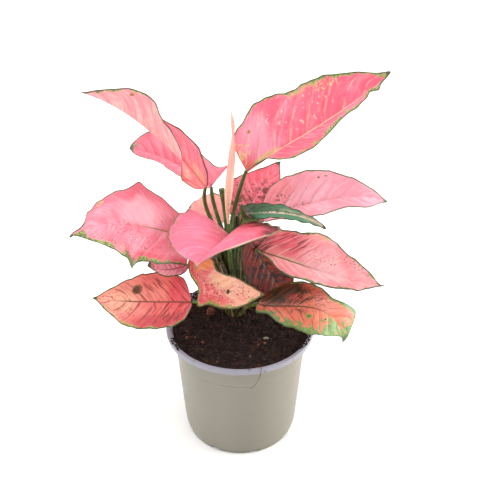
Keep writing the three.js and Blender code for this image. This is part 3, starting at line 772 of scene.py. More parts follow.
LEAVES = (
    Blade(
        "leaf_upper_right", "pink_leaf", rib=((5, 8, 241), (36, 3, 267), (69, -1, 293), (108, -6, 332)),
        stalk=((-5, 17, 112), (-9, 15, 160), (-4, 11, 205)),
        face=(0.1, -0.5, 0.85), tip_face=(0.1, -0.6, 0.8),
        widths=((19, 32.5, 40, 35, 31, 20, 5.3), (4, 2, 18, 20, 7.5, 5, 2)),
        fold=(12, (60, 30, 15)), wave=1.5, waves=2.5, lobes=(12, 0),
        margins=((0.8, 1.9, 2.0), (0.8, 3.0, 2.4)), veins=8,
        nicks=(Nick(1, 0.8, 0.025, 1.5), Nick(1, 0.885, 0.012, -2.2), Nick(1, 0.925, 0.013, 2.5)),
        tissue=BladeTissue(
            "#f9829a", "#f25c78", "#fdb8a8", "#e6c29c", "#6d8a4a", "#f59aa6", vein_cover=0.6,
            rib_reach=0.75,
            patches=patches(
                (W, "#f9a6bb", 16, -50, 14, 60, 70), (W, "#f45a74", 62, -15, 20, 50, 70),
                (W, "#f26478", 42, 60, 22, 50, 60), (W, "#d6c86c", 12, -3, 16, 7, 80),
                (W, "#ee7466", 2, 15, 7, 60), (FL, "#e6dc74", 5, -60, 7, 45, 90),
                (DT, "#e8c890", 10, -60, 10, 50, 80), (W, "#dcd86a", 3.5, -66, 2, 12, 90),
                (BL, "#b4c25c", 62, -98, 20, 16, 90), (FL, "#e2dc8c", 72, -78, 9, 20, 90),
                (DT, "#ffcdb8", 50, -55, 30, 50, 75), (BL, "#93a184", 62, 98, 7, 30, 90),
                (BL, "#b8bd72", 94, 70, 4, 60), (SP, "#b07a44", 17, -72, 1.2, 4),
            ),
        ),
    ),
    Blade(
        "leaf_upper_left", "pink_leaf",
        rib=((-26, 8, 226), (-48, 11, 255), (-79, 8, 287.5), (-114, 2, 311)),
        stalk=((-6, 17, 112), (-13, 14, 165), (-24, 11, 200)),
        face=(0.2, -0.8, 0.5), tip_face=(0.6, 0.5, 0.7),
        widths=((10, 15.5, 16, 15, 24, 11, 2), (5, 10.5, 16.5, 13, 8, 4, 1)),
        fold=((20, 80, 75), (25, 45, 80)), wave=0.8, lobes=(-12, 0),
        margins=((0.7, 0.9, 2.2), (0.5, 0.5, 0.9)), veins=8,
        tissue=BladeTissue(
            "#fb8c9a", "#f8788a", "#fec4ba", "#d8826c", "#6b7350", "#e3a8a2", outline="#4a4030",
            # Its level is raised above the others': painted light, brightening the blade against the shade
            # its far half lies in.
            vein_cover=0.6, rib_reach=0.3, level=0.95,
            patches=patches(
                (W, "#fb5c5e", 10, -75, 16, 70), (W, "#fba08c", 20, -50, 10, 30, 70),
                (W, "#f7c99a", 10, 25, 12, 30, 60), (ST, "#f78a90", 50, -50, 40, 80, 30),
                (FL, "#d9c27c", 52, -12, 6, 12, 80), (BL, "#b9a878", 0, 0, 3, 80, 90),
                (SP, "#9a6a3c", 75, -75, 1.2, 7),
            ),
        ),
    ),
    Blade(
        "leaf_upper_left_behind", "pink_leaf",
        rib=((-22, 22, 218), (-41, 26, 231), (-61, 24, 244), (-83, 16, 256)),
        stalk=((-5, 19, 112), (-11, 16, 168), (-18, 18, 196)),
        face=(0, -0.7, 0.7), widths=((5, 9, 12, 10, 8, 8, 6), (27, 16, 17, 20, 21, 15, 6)),
        fold=(20, 5), curl=(40, 0), wave=2, waves=2.5, lobes=(0, 10),
        margins=((0.8, 0.8, 0.9), (0.5, 0.5, 0.9)),
        tissue=BladeTissue(
            "#fc92a5", "#f87f95", "#fcb4bd", "#f08a98", "#8c9a80", "#f7b9a8", outline="#6f7a62",
            vein_cover=0.35,
            patches=patches(
                (BL, "#f4c0b0", 60, -95, 15, 25, 80), (BL, "#8c9a80", 97, 30, 6, 90, 80),
            ),
        ),
    ),
    Blade(
        "leaf_left", "pink_leaf", rib=((-39, 2, 184), (-69, -6, 199), (-99, -18, 210), (-127, -30, 206)),
        stalk=((-6, 17, 108), (-15, 11, 140), (-29, 7, 166)),
        face=(0, -0.6, 0.8), tip_face=(-0.2, -0.6, 0.8),
        widths=((20.5, 23, 28, 28, 21, 10.5, 0.6), (12, 20, 31, 30, 21, 4.5, 2.2)),
        fold=(10, 5), curl=(-20, -20), wave=1.5, waves=2.5, lobes=(13, 2),
        margins=((1.2, 3.0, 4.0), (0.7, 0.8, 0.9)),
        nicks=(Nick(1, 0.41, 0.05, 5), Nick(1, 0.8, 0.03, 3), Nick(0, 0.5, 0.03, 5), Nick(0, 0.52, 0.014, 6)),
        tissue=BladeTissue(
            "#fc9cae", "#f87c90", "#fdc0ca", "#9a7a4a", "#6c8650", "#f2909c", outline="#4a5a34",
            vein_cover=0.3, rib_reach=0.35,
            patches=patches(
                (W, "#f46a80", 50, 95, 40, 30, 80), (W, "#f46c7e", 8, 50, 16, 100, 60),
                (W, "#ee5c6e", 30, -90, 35, 20, 80), (W, "#fdc0cb", 42, 35, 18, 35, 60),
                (ST, "#fdd3d6", 33, 45, 16, 40, 60), (BL, "#b9bb62", 72, -85, 20, 20, 90),
                (BL, "#c4c878", 69, 88, 4, 14, 90), (W, "#5c7a42", 53.5, -100, 6, 30),
                (FL, "#4a6234", 53.5, -100, 7, 35), (DT, "#7c5a3c", 30, -60, 30, 40, 50),
                (FL, "#d9404c", 52, -15, 14, 30, 80), (FL, "#8a6a3c", 70, -70, 25, 25, 90),
            ),
        ),
    ),
    Blade(
        "leaf_centre", "pink_leaf", rib=((-8, -2, 189), (-15, -26, 198), (-24, -50, 204), (-32, -68, 204)),
        stalk=((-4, 15, 112), (-7, 10, 145), (-8, 3, 172)),
        face=(0, 0, 1), widths=((23, 30, 43, 55, 24, 7, 2), (33, 39, 41.5, 37, 25.5, 6, 1.3)),
        fold=((58, 48, 60), (45, 18, 5)), curl=(-45, -35), wave=0.5, lobes=(4, 4),
        margins=((0.8, 1.3, 1.0), (0.8, 1.0, 0.9)), veins=10,
        tissue=BladeTissue(
            "#fb86a0", "#f8718c", "#fba9b8", "#f9a2b4", "#b3ab82", "#f2909c", outline="#7a6a4c",
            vein_cover=0.35, rib_cover=0.4,
            patches=patches(
                (W, "#f7707f", 15, -60, 20, 50, 70), (W, "#f9a894", 95, 0, 10, 100, 50),
                (W, "#e4546c", 20, -95, 46, 74), (W, "#b8142a", 20, -100, 42, 50),
                (BL, "#6c1014", 24, -95, 26, 30, 90), (W, "#58100e", 22, -100, 40, 32, 95),
                (BL, "#34180e", 30, -100, 32, 20, 95), (W, "#e9d9c0", 72, -100, 20, 12, 90),
                (FL, "#8a7a4c", 40, 97, 50, 12, 90), (FL, "#c9cf8c", 12, 0, 14, 40, 80),
            ),
        ),
    ),
    Blade(
        "leaf_right", "pink_leaf", rib=((17, 18, 196), (47, 12, 207), (80, 4, 220), (112, -4, 221)),
        stalk=((-2, 19, 108), (2, 22, 145), (9, 20, 174)),
        face=(0, -0.7, 0.7), tip_face=(0.1, -0.7, 0.7),
        widths=((12, 22.5, 25.5, 25, 16.5, 7.8, 2), (8, 8, 11, 13.5, 9.8, 10.5, 3)),
        fold=(8, 20), curl=(-10, 10), waves=2.5, margins=((0.6, 0.9, 0.7), (0.5, 0.7, 0.8)),
        tissue=BladeTissue(
            "#ffbcca", "#fba0b2", "#ffd6da", "#f2a090", "#9aa27c", "#f2a0a8", outline="#5c6a48",
            vein_cover=0.5, rib_cover=0.5, level=0.74,
            patches=patches(
                (W, "#f67c84", 14, -60, 20, 50, 80), (FL, "#7c4a44", 20, -40, 8, 30, 95),
                (FL, "#6b5040", 30, -2, 12, 10, 95), (SP, "#8a6a5a", 50, -75, 1, 3),
                (SP, "#9aa06c", 55, -80, 1.4, 3),
            ),
        ),
    ),
    Blade(
        "leaf_back_right", "coral_leaf", rib=((1, 25, 184), (10, 31, 198), (20, 39, 210.5), (32, 50, 224)),
        stalk=((-3, 20, 108), (1, 24, 145), (3, 26, 170)),
        face=(0, -0.7, 0.7), widths=((15, 22, 24, 22, 15, 7.5, 3), (9, 15, 19, 18, 16, 7, 1.5)),
        fold=(10, 10), wave=1, margins=((0.7, 0.7, 0.5), (0.5, 0.7, 0.5)),
        tissue=BladeTissue(
            # Its level is raised above the default: painted light, against the shade of the blades above it.
            "#fb8494", "#f26478", "#fcaab2", "#f59aa6", "#6f6a48", "#d8707c", vein_cover=0.4, level=0.75,
            patches=patches(
                (BL, "#7c3a3c", 60, 30, 18, 50, 90), (BL, "#5c6a40", 14, -20, 25, 120, 90),
                (FL, "#7c3a3c", 40, -10, 35, 90, 80), (ST, "#9c3840", 25, 20, 30, 80, 70),
            ),
        ),
    ),
    Blade(
        "leaf_folded_green", "green_leaf", rib=((5, 4, 206), (24, -4, 212), (46, -14, 215), (65, -27, 212)),
        stalk=((-2, 17, 110), (-1, 13, 150), (1, 8, 182)),
        face=(0, 0.78, 0.62), widths=((7, 8, 7, 7, 6, 5, 3), (11, 15, 18.5, 16, 11, 8.5, 5)),
        fold=((-20, -28, -30), 5), wave=0.6, margins=((0.5, 0.6, 0.8), (0.5, 0.6, 0.8)),
        tissue=BladeTissue(
            "#74b088", "#4c8e66", "#a4c8a0", "#f2dcc0", "#2f6242", "#66a880", outline="#26422c",
            fleck="#8fb888", vein_cover=0.4, rib_reach=1.0,
            patches=patches(
                (W, "#e8c4b0", 86, 10, 20, 60, 70), (W, "#f8e0c8", 60, 0, 55, 14),
                (W, "#ecd0bc", 70, 45, 30, 12, 80), (FL, "#7a6048", 60, -10, 55, 10, 90),
                (ST, "#3f6e50", 40, 50, 50, 70, 80), (W, "#9cb8a4", 5, 40, 10, 50, 70),
            ),
        ),
    ),
    Blade(
        "leaf_lower_right", "pink_leaf", rib=((13, 4, 171), (41, -6, 167), (76, -16, 160), (111, -28, 160)),
        stalk=((-2, 16, 108), (5, 18, 130), (11, 16, 154)),
        face=(0, -0.5, 0.85), tip_face=(0.1, -0.5, 0.85),
        widths=((19, 23.5, 25.5, 31, 20.3, 11.5, 1.3), (2, 5, 13, 13, 10.6, 6.7, 1.6)),
        fold=(10, 15), curl=(-15, -15), waves=2.5, margins=((2.0, 1.8, 1.9), (1.2, 1.6, 1.2)),
        nicks=(Nick(1, 0.83, 0.03, 2),),
        tissue=BladeTissue(
            "#fdb2b4", "#fb8e96", "#fecfca", "#5a5c2c", "#56703f", "#f0909a", outline="#38482a",
            vein_cover=0.5, rib_reach=0.42,
            patches=patches(
                (W, "#ee5a6a", 20, -45, 20, 60, 90), (W, "#fdc0c0", 62, 0, 14, 60, 80),
                (W, "#f9a19a", 15, 30, 15, 70, 60), (W, "#e9d2a4", 30, -3, 12, 6, 60),
                (W, "#c04a56", 4, 0, 10, 100, 80), (ST, "#6c2c2c", 6, 0, 12, 120, 95),
                (BL, "#5c4a2c", 3, 0, 7, 100, 90), (BL, "#c6c070", 47, -96, 10, 10),
                (ST, "#6e2e2c", 28, -60, 18, 35, 85), (ST, "#7a3a34", 10, 30, 10, 70, 80),
                (FL, "#b8504f", 55, -35, 12, 20, 80), (FL, "#5a6a3a", 80, -80, 20, 30, 90),
            ),
        ),
    ),
    Blade(
        "leaf_lowest_right", "coral_leaf",
        rib=((14, -8, 128), (39, -22, 136), (65, -36, 141), (80, -46, 119)),
        stalk=((-2, 15, 106), (4, 9, 112), (9, 0, 120)),
        face=(0, -0.5, 0.85), tip_face=(0.5, -0.6, 0.6),
        widths=((10, 17.5, 21, 20.5, 14, 20.3, 9), (8, 8, 16.3, 21, 23, 16.5, 1)),
        curl=(-20, -10), waves=2.5, margins=((1.0, 1.8, 3.4), (2.6, 6.0, 5.5)),
        tissue=BladeTissue(
            "#f49070", "#ee7660", "#7a5236", "#4f4026", "#6c8f4a", "#c97a68", outline="#4a6436",
            fleck="#8aa85e", vein_cover=0.45, rib_reach=0.6,
            patches=patches(
                (W, "#5c2e12", 20, -60, 28, 70), (W, "#f59a8c", 65, -50, 15, 50, 60),
                (W, "#d8584c", 38, -30, 10, 20, 80), (BL, "#2e2c10", 22, -65, 30, 60, 95),
                (FL, "#40401a", 30, -50, 40, 60, 90), (BL, "#7a3f2a", 10, 20, 10, 60, 80),
                (BL, "#7a4630", 42, 30, 7, 25, 90), (ST, "#3a3018", 35, -45, 30, 50, 95),
                (ST, "#8c5a38", 55, 30, 25, 40, 70), (SP, "#8c9a4c", 55, 36, 3.5, 12),
                (SP, "#5f7038", 55, 36, 1.8, 6), (SP, "#a39a50", 73, 25, 2.2, 8),
                (SP, "#5a4028", 73, 25, 1, 4),
            ),
        ),
    ),
    Blade(
        "leaf_front", "coral_leaf", rib=((-33, -20, 182), (-26, -33, 167), (-6, -38, 158), (19, -34, 156)),
        stalk=((-7, 14, 108), (-16, 4, 132), (-27, -9, 162)),
        face=(0, -0.8, 0.6), tip_face=(0, -0.7, 0.7),
        widths=((12.5, 14, 13, 14, 14.5, 9.5, 3.5), (5.5, 7, 7, 12, 10.3, 4.7, 1)),
        fold=((15, 0, 0), 8), margins=((0.4, 0.6, 0.9), (0.8, 3.0, 2.0)), veins=8,
        nicks=(Nick(1, 0.42, 0.05, 8),),
        tissue=BladeTissue(
            "#ffc8ac", "#fbac94", "#fed2b4", "#f79c86", "#8b8f4a", "#e88a80", outline="#5c5a2e",
            vein_cover=0.4, rib_cover=0.3,
            patches=patches(
                (W, "#f4787c", 30, 50, 30, 90, 80), (W, "#e63a48", 6, 90, 26, 75),
                (W, "#f48c4c", 8, -60, 18, 90), (W, "#e8606a", 24, -20, 6, 80, 80),
                (FL, "#a8303a", 14, 70, 20, 60, 90), (W, "#fcc79a", 50, -65, 14, 40, 70),
                (W, "#ea4c58", 45, 75, 25, 35, 80), (BL, "#ec5460", 45, 50, 30, 60, 70),
                (BL, "#a8a454", 60, 95, 25, 20, 90), (FL, "#8c4a34", 45, 30, 30, 70, 90),
                (DT, "#d8485a", 50, 30, 30, 100, 80), (FL, "#b03a40", 80, -20, 15, 60, 90),
                (SP, "#3a2a14", 62, -15, 2, 13),
            ),
        ),
    ),
    Blade(
        "leaf_lowest_left", "coral_leaf",
        rib=((-38, -14, 134), (-60, -22, 140), (-86, -28, 145), (-113, -32, 151)),
        stalk=((-7, 16, 106), (-18, 8, 114), (-28, -3, 125)),
        face=(0, -0.6, 0.8), widths=((7, 16, 21, 22.3, 20, 10.2, 1.8), (16, 22.5, 24, 23, 17, 9, 2.3)),
        fold=(6, 6), curl=(-10, -10), wave=0.6, margins=((1.0, 1.4, 1.4), (0.9, 0.9, 1.3)), veins=7,
        tissue=BladeTissue(
            "#fcaa90", "#f48a80", "#7c2f2c", "#5a4424", "#6b8448", "#d8707c", outline="#3f4a26",
            vein_cover=0.8, rib_reach=0.7, level=0.82,
            patches=patches(
                (W, "#e44e58", 10, 10, 24, 130), (W, "#c4424a", 40, -80, 34, 50, 95),
                (W, "#ec6a68", 35, -20, 25, 40, 70), (W, "#f27a70", 40, 70, 20, 40, 60),
                (W, "#fbb79a", 75, 10, 20, 60, 70), (BL, "#a99a54", 72, -95, 12, 15, 90),
                (ST, "#7a2f2c", 30, -45, 30, 50, 90), (ST, "#7a2f2c", 42, 60, 12, 25, 90),
                (FL, "#c0404a", 70, -60, 20, 40, 70), (FL, "#c0404a", 85, 40, 10, 40, 80),
                (SP, "#8a5a3c", 58.4, 46, 5.5, 20, 95), (SP, "#5a3a26", 59, 45, 3.5, 13, 90),
            ),
        ),
    ),
    # The shaded blade's dark reds and near-black streaks are partly its own mottling and partly painted
    # shade, for the shade it lies in beneath the other blades.
    Blade(
        "leaf_shaded", "coral_leaf", rib=((9, 9, 178), (16, 8, 162), (26, 6, 144), (36, 3, 127)),
        stalk=((-2, 19, 110), (0, 21, 140), (3, 19, 163)),
        face=(0.2, -0.85, 0.5), widths=((9, 12, 15, 17, 17, 13, 6), (8, 13, 17, 19, 18, 14, 6)),
        wave=0.8, margins=((0.7, 0.7, 0.8), (0.7, 0.7, 0.8)),
        tissue=BladeTissue(
            "#a0301e", "#742018", "#b04c3a", "#3a2218", "#3f4228", "#8a4048", outline="#241f14",
            fleck="#6a6a3c", vein_cover=0.5,
            patches=patches(
                (W, "#e07880", 6, -50, 14, 70, 60), (ST, "#4c1a1c", 14, -30, 24, 120, 95),
                (ST, "#341410", 50, 0, 80, 140, 95), (BL, "#341410", 60, 0, 60, 140, 90),
                (DT, "#54481e", 40, 40, 50, 80, 90),
            ),
        ),
    ),
    Blade(
        "leaf_back_left", "coral_leaf",
        rib=((-15, 30, 178), (-23, 40, 181), (-32, 50, 181), (-42, 60, 174)),
        stalk=((-6, 20, 110), (-10, 24, 135), (-13, 28, 158)),
        face=(0, -0.6, 0.8), tip_face=(0, -0.5, 0.85),
        widths=((7.5, 13, 16, 15, 11.5, 6.5, 2), (8.5, 15, 18, 17, 13, 7.3, 2.3)),
        wave=1, margins=((0.6, 0.7, 0.7), (0.6, 0.7, 0.7)),
        tissue=BladeTissue(
            "#f7aa94", "#f68f8c", "#f9b8a8", "#c9806a", "#8a8f68", "#e8988c", vein_cover=0.4,
        ),
    ),
    Blade(
        "leaf_under_left", "coral_leaf",
        rib=((-41, -2, 161), (-51, -7, 161), (-61, -12, 164), (-71, -17, 171)),
        stalk=((-7, 17, 107), (-18, 11, 124), (-31, 4, 144)),
        face=(0, -0.4, 0.9), widths=((3.5, 6, 7.5, 8, 6, 3.5, 1.5), (12, 18, 20, 18, 14, 9, 4)),
        wave=1, margins=((0.7, 0.8, 1.2), (0.5, 0.5, 0.8)),
        tissue=BladeTissue(
            "#f9a2b0", "#f08496", "#a8405a", "#a84a5a", "#6f7a4c", "#d8707c", vein_cover=0.7, level=0.8,
            patches=patches(
                (ST, "#fcc8cc", 50, 0, 60, 140, 80), (W, "#d8506a", 10, 0, 25, 120, 70),
            ),
        ),
    ),
    Blade(
        "leaf_low_behind", "coral_leaf", rib=((-4, 36, 138), (-6, 58, 142), (-8, 82, 131), (-8, 102, 108)),
        stalk=((-4, 20, 106), (-4, 26, 115), (-4, 32, 126)),
        face=(0, -0.2, 1), tip_face=(0, 0.6, 0.8), widths=2 * ((10, 18, 22, 21, 16, 9, 2.8),),
        fold=(12, 12), curl=(-15, -15), margins=((1.4, 2.2, 2.0), (1.4, 2.0, 1.8)),
        tissue=BladeTissue(
            "#f27480", "#ea5062", "#8a3a34", "#5f4426", "#5f7a3e", "#d8707c", vein_cover=0.5, rib_reach=0.7,
            patches=patches(
                (W, "#f99c7e", 65, 0, 30, 70, 80), (ST, "#7a2e30", 40, 0, 40, 90, 50),
            ),
        ),
    ),
    Blade(
        "leaf_low_behind_left", "coral_leaf",
        rib=((-18, 32, 145), (-42, 48, 150), (-66, 62, 141), (-88, 76, 122)),
        stalk=((-6, 19, 106), (-11, 24, 119), (-15, 28, 132)),
        face=(0, 0, 1), tip_face=(-0.5, 0.4, 0.8), widths=2 * ((10, 18, 22, 21, 16, 9, 2.8),),
        fold=(12, 12), curl=(-15, -15), waves=2.5, margins=((1.0, 1.8, 1.6), (1.2, 2.0, 1.8)),
        tissue=BladeTissue(
            "#f98496", "#f4647a", "#fbb0b4", "#b06a4e", "#5f7a42", "#e08890", vein_cover=0.5,
            patches=patches(
                (FL, "#8c2c34", 40, 0, 40, 90, 60),
            ),
        ),
    ),
    Blade(
        "leaf_low_behind_right", "coral_leaf",
        rib=((10, 34, 136), (34, 48, 137), (58, 60, 125), (78, 70, 106)),
        stalk=((-2, 20, 106), (3, 25, 115), (7, 30, 126)),
        face=(0, 0, 1), tip_face=(0.5, 0.4, 0.8), widths=2 * ((9.4, 16.5, 20, 19, 14.5, 8, 2.6),),
        fold=(12, 12), curl=(-15, -15), waves=2.5, margins=((1.2, 2.0, 2.0), (1.2, 1.8, 1.6)),
        tissue=BladeTissue(
            "#f67c72", "#f0605e", "#7a4a34", "#5f4a2c", "#68843f", "#d08070", vein_cover=0.5,
            patches=patches(
                (ST, "#4a3a22", 30, -20, 35, 90, 70),
            ),
        ),
    ),
)


# ---- Stem and stalks ------------------------------------------------------------------------------


@dataclass(frozen=True)
class StalkTissue:
    """Green stalk tissue with a waxy skin: olive, finely lined along its length, with papery tan sheaths
    blotched with painted shade.
    """

    green: str = "#5c7434"
    dark: str = "#34391c"
    light: str = "#93a650"
    papery: str = "#b89a68"
    brown: str = "#5c3f26"
    # The shade colour is painted shade: dark blotches on the sheaths and old scales for the gaps between the
    # crowded stalks.
    shade: str = "#34301a"

    # The widths of the lines, the stains and the skin's unevenness. The lines' is a share of the ring.
    LINE = 0.16
    STAIN = 6
    SKIN = 1.2
    LINE_STRETCH = (2.2, 0.45, 3)
    ROUGHNESS = 0.4

    def material(self, first_scale: int) -> Material:
        """Builds the stalks' material.

        Args:
            first_scale: the number of the first old scale among the stalks.

        Returns:
            The material. It reads the marks along, round, which and sheath.
        """
        paint = Paint("stalk_tissue", self.green)
        way, ring, which, sheath = paint.marks("along", "round", "which", "sheath")
        run = paint.add("CombineXYZ", {"X": ring, "Y": way, "Z": which})
        lines = paint.grain(self.LINE, 4, where=run, stretch=self.LINE_STRETCH)
        stains = paint.grain(self.STAIN)
        paint.lay(self.dark, (lines, 0.46, 0.64, 0.8))
        paint.lay(self.light, (stains, 0.52, 0.68, 0.5))
        old = paint.add("Math", {0: which, 1: first_scale - 0.5}, operation="GREATER_THAN")
        paint.lay(self.brown, old, (stains, 0.4, 0.55, 0.8))
        # Painted shade: dark blotches on the sheaths and the old scales.
        paint.lay(self.shade, sheath, (stains, 0.42, 0.54, 0.85))
        paint.lay(self.papery, sheath, (lines, 0.47, 0.36, 0.85))
        from_lip = paint.add("Math", {0: ring, 1: 0.5}, operation="PINGPONG")
        paint.lay(self.papery, sheath, (from_lip, 0.12, 0.05), 0.8)
        height = paint.plus(lines, (paint.grain(self.SKIN, 2), 1.0))
        return paint.finish(self.ROUGHNESS, height, 0.2, Specular_IOR_Level=0.4, Subsurface_Weight=0.05,
                            Subsurface_Scale=0.002)


@dataclass
class Stem:
    """The cane and the leaf stalks that grow from it, each in the sheath that its foot forms."""

    foot: float = 74
    shoulder: float = 107
    top: float = 168
    radius: float = 6.8
    top_radius: float = 4.4
    stalk_radius: float = 1.6
    end_radius: float = 1.3
    sheath_radius: float = 3.3
    sheath_share: float = 0.6
    groove: float = 0.3
    stub: Line = ((-7, 17, 120), (-10, 16, 160), (-10, 15, 186), (-14, 16, 220))
    stub_radius: float = 2.3
    spear_stalk: Line = ((-7, 16, 150), (-9, 13, 165), (-9, 11, 178), (-8.5, 9, 193))
    hook: Line = ((2.6, 5, 212.5), (1.6, 4, 208), (4.6, 3, 202.4), (12.5, 1, 201.2))
    leaning: tuple[Line, ...] = (
        ((-7, 15, 100), (-10, 13, 120), (-14, 11, 141), (-20, 8, 162)),
        ((-8, 17, 100), (-11, 16, 120), (-14, 15, 142), (-17, 14, 166)),
        ((-6, 13, 100), (-8, 11, 120), (-11, 8, 140), (-15, 5, 158)),
        ((-2, 20, 110), (0, 22, 138), (2, 22, 165), (4, 21, 189)),
        ((-4, 21, 110), (-3, 22, 140), (-2, 22, 168), (-1, 21, 193)),
        ((-7, 17, 100), (-11, 12, 120), (-17, 8, 138), (-24, 5, 152)),
        ((-5, 20, 110), (-5, 21, 140), (-5, 21, 170), (-5, 20, 192)),
    )
    scales: int = 24
    steps: int = 48
    sides: int = 20

    # The scars that ring the cane: how far apart, how wide and how much thicker they are.
    SCAR_GAP = 9
    SCAR_WIDTH = 0.9
    SCAR_RISE = 0.045
    CANE_INSET = 0.3
    CANE_SWAY = 0.35
    # The share of a stalk's ring that its groove takes up, from the groove's middle.
    GROOVE_WIDTH = 0.12
    # The share of a stalk's length where its sheath starts to end, and the share that it takes for that.
    SHEATH_END = 0.45
    SHEATH_FADE = 0.2
    # Each old scale starts a turn (in radians) further round, at a distance out from the crown's middle and
    # a height, and its tip ends between two distances and two heights, which mix differently each time.
    SCALE_TURN = 2.4
    SCALE_FOOT = (5.2, 95)
    SCALE_NECK = (6.4, 104)
    SCALE_LEANS = (7.5, 16.5)
    SCALE_TOPS = (116, 164)
    LEAN_MIX = 0.37
    TOP_MIX = 0.61

    def _scales(self, shares: np.ndarray) -> list[tuple[np.ndarray, np.ndarray]]:
        """Lists the middle line and the radii of the old scales round the crown, at shares of their way."""
        ways = []
        (near, far), (low, high), (out, up) = self.SCALE_LEANS, self.SCALE_TOPS, self.SCALE_NECK
        for n in range(self.scales):
            angle = self.SCALE_TURN * n
            tall = low + (high - low) * (self.TOP_MIX * n % 1)
            lean = near + (far - near) * (self.LEAN_MIX * n % 1)
            halfway = (0.5 * (out + lean), 0.5 * (up + tall))
            section = (self.SCALE_FOOT, self.SCALE_NECK, halfway, (lean, tall))
            line = [(CROWN[0] + r * math.cos(angle), CROWN[1] + r * math.sin(angle), z) for r, z in section]
            ways.append((Curve(line).at(shares), 3.0 - 2.5 * shares ** 1.5))
        return ways + [(Curve(line).at(shares), 4.0 - 1.5 * shares) for line in self.leaning]

    def _cane(self) -> tuple[np.ndarray, np.ndarray]:
        """Gives the middle line and the radii of the cane, which is ringed with scars."""
        height = np.linspace(self.foot, self.top, self.steps + 1)
        x = CROWN[0] + self.CANE_SWAY * np.sin(height / 9)
        y = CROWN[1] + self.CANE_SWAY * np.cos(height / 11)
        radii = [self.radius, self.radius, self.top_radius]
        thick = np.interp(height, [self.foot, self.shoulder, self.top], radii)
        from_scar = ((height % self.SCAR_GAP) - self.SCAR_GAP / 2) / self.SCAR_WIDTH
        rings = 1 + self.SCAR_RISE * np.exp(-from_scar ** 2)
        return np.stack([x, y, height], axis=-1), thick * rings - self.CANE_INSET

    def _ways(self) -> list[tuple[np.ndarray, np.ndarray]]:
        """Lists the middle line and the radii of the cane, every stalk, the stub, the hook and the scales."""
        shares = np.linspace(0, 1, self.steps + 1)
        sheath = np.minimum(1, shares / self.sheath_share)
        taper = self.sheath_radius + (self.stalk_radius - self.sheath_radius) * sheath
        end = smooth((shares - 0.9) / 0.1)
        stalk = taper + (self.end_radius - self.stalk_radius) * end
        ways = [self._cane()]
        ways += [(Curve((*leaf.stalk, leaf.rib[0])).at(shares), stalk) for leaf in LEAVES]
        ways.append((Curve(self.spear_stalk).at(shares), np.full(len(shares), self.stalk_radius)))
        ways.append((Curve(self.stub).at(shares), np.full(len(shares), self.stub_radius)))
        ways.append((Curve(self.hook).at(shares), 1.5 + 0.3 * np.sin(math.pi * shares)))
        return ways + self._scales(shares)

    def _growth(self) -> Growth:
        """Builds the tree that turns each line to a grooved stalk.

        Returns:
            The geometry tree, with inputs for its sides, its groove and its material.
        """
        inputs = {"Lines": "Geometry", "Sides": "Int", "Groove": "Float", "Tissue": "Material"}
        growth = Growth("grooved_stalks", inputs)
        tree, given = growth.tree, growth.given
        share = add(tree, "GeometryNodeSplineParameter", out="Factor")
        ring = add(tree, "GeometryNodeCurvePrimitiveCircle", {"Resolution": given["Sides"], "Radius": 1.0})
        lines, ring = (
            add(tree, "GeometryNodeStoreNamedAttribute", {"Geometry": curve, "Name": key, "Value": share},
                data_type="FLOAT", domain="POINT")
            for curve, key in ((given["Lines"], "along"), (ring, "round")))
        near = add(tree, "ShaderNodeMath", {0: share, 1: 0.5}, operation="PINGPONG")
        ends = {"From Min": 0.0, "From Max": self.GROOVE_WIDTH, "To Min": given["Groove"], "To Max": 0.0}
        sunk = add(tree, "ShaderNodeMapRange", {"Value": near, **ends}, interpolation_type="SMOOTHSTEP")
        scale = add(tree, "ShaderNodeMath", {0: 1.0, 1: sunk}, operation="SUBTRACT")
        spot = add(tree, "GeometryNodeInputPosition")
        spot = add(tree, "ShaderNodeVectorMath", {0: spot, "Scale": scale}, operation="SCALE")
        ring = add(tree, "GeometryNodeSetPosition", {"Geometry": ring, "Position": spot})
        thick = add(tree, "GeometryNodeInputRadius")
        swept = {"Curve": lines, "Profile Curve": ring, "Scale": thick, "Fill Caps": True}
        growth.end(add(tree, "GeometryNodeCurveToMesh", swept))
        return growth

    def build(self) -> None:
        """Builds the stem in one mesh."""
        lines = bpy.data.curves.new("stalk_lines", "CURVE")
        lines.dimensions = "3D"
        ways = self._ways()
        for points, radii in ways:
            spline = lines.splines.new("POLY")
            spline.points.add(len(points) - 1)
            spots = np.column_stack([points * MM, np.ones(len(points))])
            spline.points.foreach_set("co", spots.astype(np.float32).ravel())
            spline.points.foreach_set("radius", (radii * MM).astype(np.float32))
        first_scale = len(ways) - self.scales - len(self.leaning)
        values = {"Sides": self.sides, "Groove": self.groove, "Tissue": StalkTissue().material(first_scale)}
        mesh = self._growth().grow("stem_stalks", lines, values)
        count = len(mesh.vertices)
        which = np.minimum(np.arange(count) // (count // len(ways)), len(ways) - 1)
        mark(mesh, "which", which)
        way = np.zeros(count, np.float32)
        mesh.attributes["along"].data.foreach_get("value", way)
        sheathed = 1 - smooth((way - self.SHEATH_END) / self.SHEATH_FADE)
        sheath = np.where((which > 0) & (which <= len(LEAVES)), sheathed, 0)
        mark(mesh, "sheath", np.where(which >= first_scale, 1, sheath))
        shade(mesh, 60)
        place("stem_and_stalks", mesh, "stem", "stem")


# ---- Rolled leaf ----------------------------------------------------------------------------------


